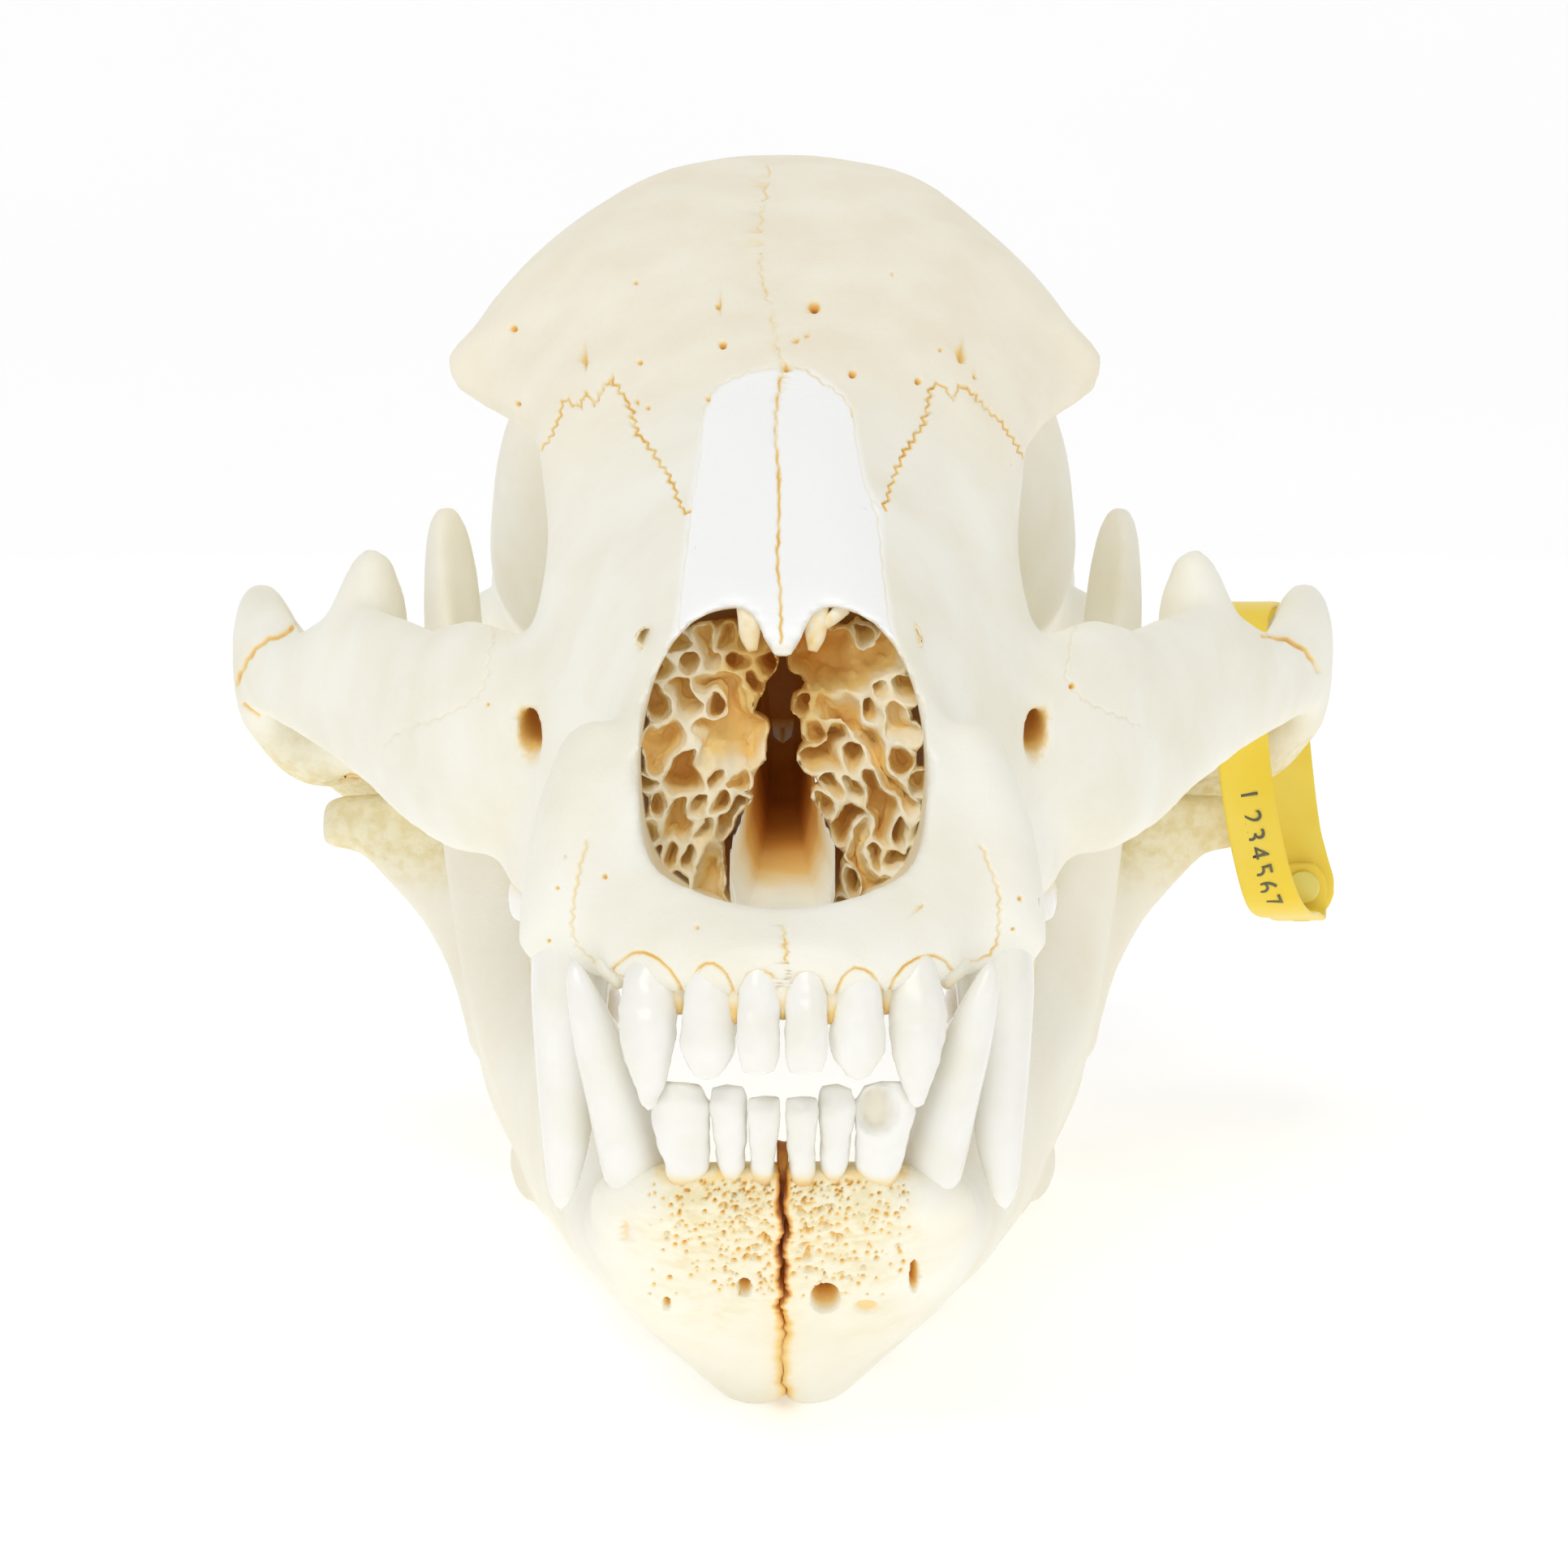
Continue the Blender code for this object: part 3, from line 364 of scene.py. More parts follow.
def ragged(line, reach, step, seed):
    """A bone seam's zigzag along a line: teeth of uneven length to both sides."""
    draw = np.random.default_rng(seed)
    line = np.asarray(line, float)
    gaps = np.linalg.norm(np.diff(line, axis=0), axis=1)
    knots = np.concatenate([[0], np.cumsum(gaps)])
    count = max(int(knots[-1] / step), 2)
    along = np.linspace(0, knots[-1], count)
    path = ease_through(knots, line, along)
    ahead = np.gradient(path, axis=0)
    ahead /= np.linalg.norm(ahead, axis=1)[:, None]
    across = np.stack([-ahead[:, 1], ahead[:, 0]], axis=1)
    swing = reach * np.where(np.arange(count) % 2 == 0, 1, -1) * draw.uniform(0.15, 1.0, count)
    slip = draw.uniform(-0.3, 0.3, count) * step
    return path + across * swing[:, None] + ahead * slip[:, None]


def refine(mesh, wanted):
    """Splits each edge between wanted points in two, and rounds the new surface a little."""
    bm = bmesh.new()
    bm.from_mesh(mesh)
    edges = [e for e in bm.edges if wanted[e.verts[0].index] and wanted[e.verts[1].index]]
    made = bmesh.ops.subdivide_edges(bm, edges=edges, cuts=1, use_grid_fill=True)
    fresh = [item for item in made["geom_inner"] if isinstance(item, bmesh.types.BMVert)]
    bmesh.ops.smooth_vert(bm, verts=fresh, factor=0.5, use_axis_x=True, use_axis_y=True, use_axis_z=True)
    bmesh.ops.triangulate(bm, faces=[f for f in bm.faces if len(f.verts) > 4])
    bm.to_mesh(mesh)
    bm.free()


def soft_noise(points, size, seed=0.0):
    """Smooth noise from about -1 to 1 whose bumps are about the given size."""
    shift = Vector((seed, seed * 1.7, -seed))
    return np.array([noise.noise(Vector(p) / size + shift) for p in points])


def keep_inside(points):
    """Holds points on the table inside the box of all the solids."""
    return np.clip(points, np.array(frame_box[0]), np.array(frame_box[1]))


def paint(mesh, name, values):
    """Stores a value for each point, which the material reads."""
    layer = mesh.attributes.new(name, "FLOAT", "POINT")
    layer.data.foreach_set("value", np.clip(values, 0, 1).astype(np.float32))


def on_table(obj, nodes, body="root"):
    """Sets a finished piece down where its solids stand and hides them."""
    obj.data.transform(ON_TABLE)
    move_points(obj.data, keep_inside(points_of(obj.data)))
    obj.data.shade_smooth()
    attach(obj, body)
    if nodes:
        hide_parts(*nodes)
    return obj


def hollows_of_the_nose():
    """The open nose: the front chamber and the two passages beside the middle wall."""
    rim = [(0, 8), (10, 9.6), (16.5, 14.3), (19.2, 22.5), (19.3, 29), (18.2, 37), (15.6, 43.6),
           (11.5, 46.2), (7, 47.6), (4.2, 46), (2.2, 43), (0, 42.6)]
    room = [(0, 4.5), (10, 6), (18, 11.5), (20.5, 21), (20.5, 30), (19, 38), (16, 44.5),
            (11.5, 46.5), (7, 47.6), (4.2, 47), (2.2, 46.5), (0, 46.5)]
    rear = [(0, 7), (8, 8.5), (12, 12), (13.5, 21), (13.5, 30), (12, 38), (10, 42),
            (7.5, 44), (5, 45), (3, 45), (1.5, 45), (0, 45)]
    lip = room[:5] + [(18.8, 37.5), (16.2, 42.6), (12, 46.6), (7.2, 48.2), (4.4, 47.2), (2, 42.4), (0, 41.2)]
    shapes = [(-8, rim), (13, rim), (22, lip), (49, lip), (54, room), (62, room), (84, rear), (92, rear)]
    forms = [loft([(y, mirrored(shape)) for y, shape in shapes], 60, 40)]
    passage = [(3.6, 9), (8.8, 9), (7.2, 16), (4.2, 26), (2.6, 38), (1.0, 38), (1.4, 26), (2.4, 16)]
    channel = [(3.2, 9.5), (9.5, 9.5), (10, 16), (7.5, 22), (4, 23), (2.2, 22), (1.6, 19), (2, 14)]
    behind = [(1.0, 10), (11, 9), (12, 14), (10, 20), (5, 23), (1.0, 23), (0.8, 19), (0.8, 14)]
    passages = [(44, passage), (75, passage), (105, channel), (160, behind), (188, behind)]
    forms += both_sides([loft(passages, 24, 20)])
    throat = mirrored([(0, 22), (9, 21), (11.5, 14), (11.5, 2), (9, -8), (0, -8)])
    forms.append(loft([(168, throat), (205, throat)], 24, 4))
    return forms


def cranium_hollows():
    nerve_canal = sweep(NERVE_CANAL, 16, 10)
    joint_groove = sweep([((44, 212, -0.5), 7.8, 7.8), ((78, 212, -0.5), 7.8, 7.8),
                          ((87, 212, -1.5), 6.2, 6.2)], 28, 8)
    neck_hole = sweep([((0, 336, 37), 10.5, 13), ((0, 312, 37), 10.5, 13), ((0, 290, 38), 9, 11)], 28, 6)
    ear_hole = lump((62, 261, 20), (14, 3.4, 3.4), (0, 10, 8))
    return hollows_of_the_nose() + both_sides([nerve_canal, joint_groove, ear_hole]) + [neck_hole]


def cranium_forms():
    body = loft([(y, mirrored(half)) for y, half in CRANIUM_SECTIONS], 96, 160)
    arch = sweep(ARCH_PATH, 40, 90, square=0.85)
    cheek_horn = sweep([((71.5, 157, 33), 9, 8.2), ((70, 157, 41), 7.2, 6.6), ((69.6, 157, 47), 5.2, 4.5),
                        ((68.6, 157, 51.2), 2.8, 2.4)], 20, 14, up=(0, 1, 0))
    brow_horn = sweep([((38, 156, 87), 8, 9), ((48, 156.5, 83.5), 6, 6.5), ((52, 156.5, 81.5), 4.6, 5),
                       ((54.9, 156.5, 80.8), 3.6, 3.6)], 24, 14)
    canine_ridge = sweep([((31.2, 25, 0), 7.4, 7), ((30.4, 31, 8), 9, 7.4), ((29, 38, 18), 9, 7),
                          ((27, 46, 29), 7, 5)],
                         24, 14, up=(0, 1, 0))
    joint_roof = lump((67, 216, 13), (25, 14, 8))
    joint_rim = sweep([((94, 212, 26), 8, 5), ((92, 214, 17.5), 9, 5), ((87.5, 216, 11), 9, 5),
                       ((81, 216, 9), 9, 5)],
                      24, 16, up=(0, 1, 0))
    joint_back = sweep([((52, 223, 5), 7, 2.8), ((68, 224, 5), 8, 2.8), ((82, 222, 8), 6, 2.5)], 20, 12)
    wing = sweep([((14.8, 158, 12), 12, 3.2), ((14.6, 178, 12), 12, 2.2), ((14.2, 192, 10), 11, 2),
                  ((14, 201, 5), 6, 1.8)], 20, 14)
    ear_drum = lump((32, 264, 15), (15, 19, 6.5), (0, 0, 20))
    ear_knob = lump((57, 284, 24), (9, 12, 13))
    neck_spur = lump((43, 300, 16), (5, 6, 9))
    neck_knuckle = lump((17, 313, 26), (11, 9, 13), (20, 25, 0))
    neck_crest = sweep([((-4, 305, 99), 4.5, 4), ((10, 306, 97.5), 4.5, 4), ((22, 306.5, 89), 4.2, 3.6),
                        ((35, 304.5, 73), 4, 3.4), ((47, 300, 53), 4.2, 3.6), ((55, 294, 36), 5, 4)], 20, 30)
    paired = [arch, cheek_horn, brow_horn, canine_ridge, joint_roof, joint_rim, joint_back, wing]
    paired += [ear_drum, ear_knob, neck_crest, neck_spur, neck_knuckle]
    return [body] + both_sides(paired)


# Seams of the face as they show from the front, in the photograph's pixels:
# line, reach of the zigzag, its step, width of the groove, and how amber it is.
FACE_SEAMS = [
    ([(951, 205), (950, 240), (945, 275), (947, 305), (942, 335), (950, 372), (957, 420), (965, 452)],
     4, 7, 1.5, 0.3),
    ([(963, 452), (958, 490), (956, 530), (959, 585), (960, 640), (958, 690), (962, 740), (962, 792)],
     1.5, 9, 1.9, 0.5),
    ([(850, 630), (840, 630), (832, 605), (820, 581), (809, 565), (795, 544), (783, 532), (781, 512),
      (771, 491), (754, 467)], 4.5, 5.5, 1.5, 0.62),
    ([(754, 467), (740, 483), (732, 499), (722, 483), (713, 501), (697, 491), (681, 532), (658, 561)],
     3.5, 5.5, 1.5, 0.5),
    ([(1089, 626), (1103, 581), (1109, 569), (1122, 544), (1136, 528), (1142, 503), (1150, 475)],
     4.5, 5.5, 1.5, 0.62),
    ([(1150, 475), (1162, 473), (1175, 491), (1185, 475), (1201, 487), (1216, 503), (1236, 520), (1252, 548),
      (1271, 573)], 3.5, 5.5, 1.5, 0.5),
    ([(291, 841), (304, 812), (318, 796), (332, 786), (348, 782), (366, 770)], 1.5, 9, 3.2, 0.55),
    ([(301, 868), (308, 876), (318, 881)], 1, 6, 2.6, 0.45),
    ([(420, 961), (430, 958), (441, 959)], 1, 6, 3.0, 0.6),
    ([(1557, 782), (1575, 786), (1594, 792), (1612, 805), (1624, 826)], 1.5, 9, 3.2, 0.55),
    ([(602, 753), (610, 782), (602, 804), (594, 849), (549, 880), (520, 890), (490, 903), (474, 919)],
     3, 8, 1.2, 0.14),
    ([(1326, 765), (1318, 800), (1316, 840), (1345, 868), (1375, 880), (1405, 893)], 3, 8, 1.2, 0.14),
    ([(850, 628), (846, 680), (840, 720), (835, 780)], 1, 14, 1.3, 0.14),
    ([(865, 510), (878, 482), (900, 466), (930, 457), (962, 452)], 2, 8, 1.3, 0.16),
    ([(850, 628), (862, 560), (865, 510)], 1, 14, 1.3, 0.1),
    ([(1098, 775), (1088, 700), (1082, 640), (1068, 600)], 1.5, 12, 1.3, 0.18),
    ([(965, 452), (991, 454), (1016, 471), (1040, 491), (1052, 512)], 2.5, 8, 1.5, 0.3),
    ([(1052, 512), (1058, 560), (1068, 600), (1087, 627)], 1.5, 12, 1.3, 0.16),
    ([(723, 1036), (713, 1075), (705, 1119), (707, 1158), (721, 1178), (751, 1196), (767, 1206)],
     2.5, 7, 1.9, 0.34),
    ([(1209, 1043), (1229, 1095), (1231, 1130), (1225, 1170), (1194, 1190), (1166, 1206)], 2.5, 7, 1.9, 0.34),
    ([(960, 1128), (966, 1148), (968, 1174), (970, 1206)], 3, 6, 1.8, 0.4),
    ([(752, 1196), (768, 1181), (783, 1173), (805, 1178), (825, 1196), (840, 1222), (848, 1240)],
     0.4, 9, 2.2, 0.5),
    ([(848, 1240), (853, 1212), (860, 1194), (870, 1186), (886, 1191), (900, 1212), (909, 1250)],
     0.4, 9, 2.2, 0.5),
    ([(909, 1250), (915, 1218), (922, 1202), (933, 1196), (950, 1200), (961, 1215), (968, 1237)],
     0.4, 9, 2.2, 0.45),
    ([(968, 1237), (975, 1214), (983, 1202), (993, 1198), (1007, 1204), (1018, 1225), (1024, 1253)],
     0.4, 9, 2.2, 0.45),
    ([(1024, 1253), (1031, 1222), (1042, 1200), (1058, 1192), (1078, 1204), (1091, 1237)], 0.4, 9, 2.2, 0.5),
    ([(1091, 1237), (1104, 1205), (1124, 1184), (1150, 1177), (1168, 1186), (1178, 1204)], 0.4, 9, 2.2, 0.5),
]

# The white, chalky nasal bones, as their outline shows in the photograph's pixels.
NASAL_BONES = [(826, 800), (838, 720), (848, 628), (860, 560), (866, 512), (880, 482), (900, 466), (930, 457),
               (965, 452), (1000, 455), (1022, 470), (1040, 486), (1052, 512), (1060, 560), (1070, 600),
               (1087, 627), (1090, 700), (1104, 790), (826, 800)]


def inside_outline(places, outline):
    """Whether each place lies within a closed outline."""
    inside = np.zeros(len(places), bool)
    for (u0, v0), (u1, v1) in zip(outline[:-1], outline[1:]):
        crosses = (v0 > places[:, 1]) != (v1 > places[:, 1])
        reach = u0 + (places[:, 1] - v0) * (u1 - u0) / (v1 - v0 if v1 != v0 else 1e-9)
        inside ^= crosses & (places[:, 0] < reach)
    return inside


# Small pores and vessel holes of the face: pixel, radius in pixels, depth in millimetres.
FACE_PORES = [
    ((788, 348), 2.5, 0.6), ((887, 377), 3, 0.9), ((891, 424), 4, 1.4), ((1005, 377), 6, 1.6),
    ((640, 404), 4, 0.9), ((723, 445), 3.5, 0.9), ((789, 446), 3, 0.8), ((1051, 459), 4, 1.4),
    ((1132, 469), 3.5, 1.2), ((1187, 442), 4, 0.9), ((1161, 430), 2.5, 0.6), ((872, 490), 2.5, 0.9),
    ((982, 419), 3, 0.8), ((995, 413), 2.5, 0.8), ((1203, 464), 2.5, 0.8), ((1104, 338), 2, 0.5),
    ((969, 452), 4, 1.2), ((798, 502), 2.5, 0.7), ((785, 495), 2.5, 0.7), ((640, 498), 3, 0.8),
    ((744, 1079), 3, 0.8), ((859, 1142), 2.5, 0.5), ((1137, 1115), 2, 0.4), ((1257, 1107), 3, 0.6),
    ((686, 1093), 2.5, 0.5), ((1322, 845), 3.5, 0.9), ((600, 868), 2.5, 0.5), ((676, 1160), 2.5, 0.5),
    ((1248, 1145), 2.5, 0.5),
]


def shows_in_front(points):
    """Whether a point lies on the face or a cheek arch, and not behind them."""
    reach = np.where(np.abs(points[:, 0]) > 70, 226, 188)
    temple = (np.abs(points[:, 0]) > 34) & (points[:, 1] > 162) & (points[:, 2] > 55) & (points[:, 2] < 98)
    return (points[:, 1] < reach) & ~temple


cranium = gathered("cranium_bone", cranium_forms())
melt(cranium, FIRST_GRID, 4)
hollow_out(cranium, cranium_hollows(), CUT_GRID)
drop_crumbs(cranium.data)
melt(cranium, LAST_GRID, 2)
drop_crumbs(cranium.data)
thin = cranium.modifiers.new("thin", "DECIMATE")
thin.ratio = KEPT_FACES
settle(cranium)

seam_lines = [
    ragged(line, reach, step, seed)
    for seed, (line, reach, step, _, _) in enumerate(FACE_SEAMS)
]
for spread, pores_spread in FINER_BANDS:
    points = points_of(cranium.data)
    pixels = seen_at(points)
    facing = (towards_eye(points, normals_of(cranium.data)) > 0.0) & shows_in_front(points)
    near = np.full(len(points), 1e9)
    for line in seam_lines:
        near = np.minimum(near, distance_to_line(pixels, line))
    wanted = near < spread
    for (u, v), radius, depth in FACE_PORES:
        wanted |= np.hypot(pixels[:, 0] - u, pixels[:, 1] - v) < radius + pores_spread
    refine(cranium.data, wanted & facing)

points = points_of(cranium.data)
normals = normals_of(cranium.data)
pixels = seen_at(points)
facing = np.clip(towards_eye(points, normals) * 6, 0, 1) * shows_in_front(points)
sink = 0.18 * soft_noise(points, 16.0) + 0.06 * soft_noise(points, 5.0, 3.0)
amber = np.zeros(len(points))
for line, (_, _, _, wide, strength) in zip(seam_lines, FACE_SEAMS):
    shape = np.exp(-(distance_to_line(pixels, line) / wide) ** 2) * facing
    sink -= 0.5 * shape * (0.3 + strength)
    patchy = 0.65 + 0.5 * soft_noise(points, 4.0, 7.0)
    glow = np.exp(-(distance_to_line(pixels, line) / (wide * 3)) ** 2) * facing
    amber = np.maximum(amber, strength * patchy * shape + 0.1 * strength * glow)
# Each pore is sunk in and painted amber in step with its depth: painted shade in the hole.
for (u, v), radius, depth in FACE_PORES:
    apart = np.hypot(pixels[:, 0] - u, pixels[:, 1] - v) / radius
    shape = np.exp(-(apart**2)) * facing
    sink -= depth * shape
    amber = np.maximum(amber, shape * min(0.25 + 0.45 * depth, 0.95))
# Painted shade inside the nose: its walls turn amber behind the rim, deeper further in.
behind_rim = points[:, 1] - np.interp(points[:, 2], (3, 9, 16, 28, 44, 48), (15, 15, 24, 31, 46, 49))
nose_hollow_shade = np.clip(behind_rim / 16, 0, 1) * (np.abs(points[:, 0]) < 21.5) * (points[:, 1] < 150)
nose_hollow_shade *= (points[:, 2] > 3) & (points[:, 2] < 48.5) & (points[:, 2] < 26 + 0.42 * points[:, 1])
inward = -np.sign(points[:, 0]) * normals[:, 0] + np.abs(normals[:, 2]) - 0.3 * normals[:, 1]
nose_hollow_shade *= np.clip((inward + 0.3) * 2, 0, 1)
amber = np.maximum(amber, (0.16 + 0.6 * np.clip((points[:, 1] - 55) / 40, 0, 1)) * nose_hollow_shade)
canal_x, canal_y, canal_z = np.array([centre for centre, _, _ in NERVE_CANAL], float).T
hole_x = np.interp(points[:, 1], canal_y, canal_x)
hole_z = np.interp(points[:, 1], canal_y, canal_z)
from_axis = np.stack([np.abs(points[:, 0]) - hole_x, points[:, 2] - hole_z], axis=1)
faces_axis = -(np.sign(points[:, 0]) * normals[:, 0] * from_axis[:, 0] + normals[:, 2] * from_axis[:, 1])
# Painted shade in the nerve canal under each eye: amber that deepens further into the hole.
nerve_hole_shade = np.hypot(from_axis[:, 0] / 2.7, from_axis[:, 1] / 4.7) < 1.0
nerve_hole_shade &= (points[:, 1] > 82) & (points[:, 1] < 112)
nerve_hole_shade &= (faces_axis > 0.1) | (points[:, 1] > 97)
amber = np.maximum(amber, nerve_hole_shade * np.clip((points[:, 1] - 86) / 22, 0.12, 0.5))
warm = np.clip((points[:, 1] - 98) / 14, 0, 1) * np.clip((points[:, 2] - 60) / 15, 0, 1)
within = np.where(inside_outline(pixels, NASAL_BONES), 1, -1)
chalk = np.clip(0.5 + within * distance_to_line(pixels, NASAL_BONES) / 8, 0, 1)
chalk *= (facing > 0) * (points[:, 1] < 130)
moved = points + normals * sink[:, None]
brow = np.exp(-((points[:, 1] - 162) / 26) ** 2) * np.clip((points[:, 2] - 70) / 10, 0, 1)
moved[:, 0] -= BROW_LEAN * brow * np.clip((125 - points[:, 2]) / 20, 0, 1)
move_points(cranium.data, moved)
paint(cranium.data, "amber", amber)
paint(cranium.data, "warm", warm)
paint(cranium.data, "chalk", chalk)
rough_joint = np.clip((points[:, 1] - 203) / 8, 0, 1) * np.clip((24 - points[:, 2]) / 12, 0, 1)
rough_joint *= np.clip((np.abs(points[:, 0]) - 40) / 8, 0, 1) * (points[:, 1] < 235)
paint(cranium.data, "pitted", rough_joint)
on_table(cranium, ["cranium"])


def linear(code):
    """A screen colour, such as F5F2E6, as the light values that materials take."""
    parts = [int(code[i:i + 2], 16) / 255 for i in (0, 2, 4)]
    return (*[c / 12.92 if c <= 0.04045 else ((c + 0.055) / 1.055) ** 2.4 for c in parts], 1.0)


class Finish:
    """A material's node tree, built a node at a time."""

    def __init__(self, name, roughness):
        self.material = bpy.data.materials.new(name)
        self.material.use_nodes = True
        self.tree = self.material.node_tree
        self.shader = self.tree.nodes["Principled BSDF"]
        self.shader.inputs["Roughness"].default_value = roughness
        self.where = self.add("ShaderNodeTexCoord").outputs["Object"]

    def add(self, kind, **inputs):
        node = self.tree.nodes.new(kind)
        for name, value in inputs.items():
            self.feed(node.inputs[name], value)
        return node

    def feed(self, socket, value):
        if isinstance(value, bpy.types.NodeSocket):
            self.tree.links.new(value, socket)
        else:
            socket.default_value = value

    def attribute(self, name):
        node = self.add("ShaderNodeAttribute")
        node.attribute_name = name
        return node.outputs["Fac"]

    def noise(self, scale, detail=3.0):
        return self.add("ShaderNodeTexNoise", Vector=self.where, Scale=scale, Detail=detail).outputs["Fac"]

    def cells(self, scale):
        return self.add("ShaderNodeTexVoronoi", Vector=self.where, Scale=scale).outputs["Distance"]

    def ramp(self, value, stops):
        node = self.add("ShaderNodeValToRGB", Fac=value)
        ramp = node.color_ramp
        while len(ramp.elements) < len(stops):
            ramp.elements.new(1.0)
        for element, (place, colour) in zip(ramp.elements, stops):
            element.position = place
            element.color = colour
        return node.outputs["Color"]

    def fade(self, value, start, end):
        """The value stretched so that start gives 0 and end gives 1."""
        node = self.add("ShaderNodeMapRange", Value=value)
        node.inputs["From Min"].default_value = start
        node.inputs["From Max"].default_value = end
        return node.outputs["Result"]

    def mix(self, share, first, second):
        node = self.tree.nodes.new("ShaderNodeMix")
        node.data_type = "RGBA"
        self.feed(node.inputs["Factor"], share)
        self.feed(node.inputs["A"], first)
        self.feed(node.inputs["B"], second)
        return node.outputs["Result"]

    def bump(self, height, distance, strength=1.0):
        node = self.add("ShaderNodeBump", Height=height, Distance=distance, Strength=strength)
        self.feed(self.shader.inputs["Normal"], node.outputs["Normal"])


def bone_finish():
    """Cleaned, bleached bone: creamy white, warmer on the brow, amber where dirt and age collect in its seams,
    amber painted shade in its pores, holes and hollows, and a faint painted glow of its own colour.
    """
    bone = Finish("bleached_bone", 0.55)
    mottle = bone.mix(bone.fade(bone.noise(55.0), 0.35, 0.7), linear("F7F5E9"), linear("F1ECD9"))
    brow = bone.mix(bone.fade(bone.noise(90.0), 0.3, 0.7), linear("F8F2E0"), linear("F3EAD3"))
    colour = bone.mix(bone.attribute("warm"), mottle, brow)
    colour = bone.mix(bone.attribute("chalk"), colour, linear("FCFCFA"))
    porous = bone.mix(bone.fade(bone.noise(420.0), 0.42, 0.62), linear("F1E8C4"), linear("E6D69E"))
    colour = bone.mix(bone.attribute("pitted"), colour, porous)
    amber_tint = bone.ramp(bone.attribute("amber"), [
        (0.0, linear("F8EFD0")), (0.3, linear("F2D083")), (0.6, linear("E2A344")), (0.8, linear("B96C1F")),
        (1.0, linear("6B3206"))])
    colour = bone.mix(bone.fade(bone.attribute("amber"), 0.02, 0.3), colour, amber_tint)
    bone.feed(bone.shader.inputs["Base Color"], colour)
    # The bone also glows faintly in its own colour: painted light that lifts its shade.
    bone.feed(bone.shader.inputs["Emission Color"], colour)
    bone.shader.inputs["Emission Strength"].default_value = 0.03
    grain = bone.mix(bone.attribute("pitted"), bone.mix(0.5, bone.noise(700.0, 4.0), bone.noise(2400.0, 2.0)),
                     bone.fade(bone.cells(900.0), 0.1, 0.5))
    bone.bump(grain, 0.0003, 0.4)
    return bone.material


BONE = bone_finish()
cranium.data.materials.append(BONE)


# The nose's scroll bones: thin, torn walls of honeycomb that fill each half of the nose behind its rim.
# Each half is one sheet of uneven cells, its walls rounded and crumbling, its hollows painted deep amber as
# shade that grows with their depth.
CELL = 4.0
CELL_WALL = 0.3
NOSE_HIGH = 47.0
NOSE_LOW = 5.0
NOSE_HALF = 24.5


def inner_edge(z):
    """How near the middle wall the honeycomb comes at each height."""
    return float(np.interp(z, (5, 10, 15, 20, 23, 28, 47), (8.6, 8.2, 7.2, 5.6, 4.4, 2.4, 2.2)))


def cell_sheet(draw):
    """A flat sheet of uneven six-sided cells over one half of the nose, seen from the front."""
    bm = bmesh.new()
    columns = 6
    rows = 14
    bmesh.ops.create_grid(bm, x_segments=columns, y_segments=rows, size=1.0)
    for vert in bm.verts:
        row = round((vert.co.y + 1) / 2 * rows)
        column = (vert.co.x + 1) / 2 * columns + 0.5 * (row % 2)
        push = draw.uniform(-0.42, 0.42, 2)
        vert.co = Vector(((column + push[0] - 1.6) * CELL, 0, NOSE_LOW + (row + push[1] - 2) * CELL * 0.87))
    bmesh.ops.triangulate(bm, faces=bm.faces, quad_method="SHORT_EDGE")
    corners = bm.verts[:]
    inner_corners = [vert for vert in corners if not vert.is_boundary]
    outer_corners = [vert for vert in corners if vert.is_boundary]
    sides = [edge for edge in bm.edges if not edge.is_boundary]
    bmesh.ops.poke(bm, faces=bm.faces)
    bmesh.ops.rotate_edges(bm, edges=sides, use_ccw=False)
    bmesh.ops.dissolve_verts(bm, verts=inner_corners)
    bmesh.ops.delete(bm, geom=outer_corners, context="VERTS")
    return bm


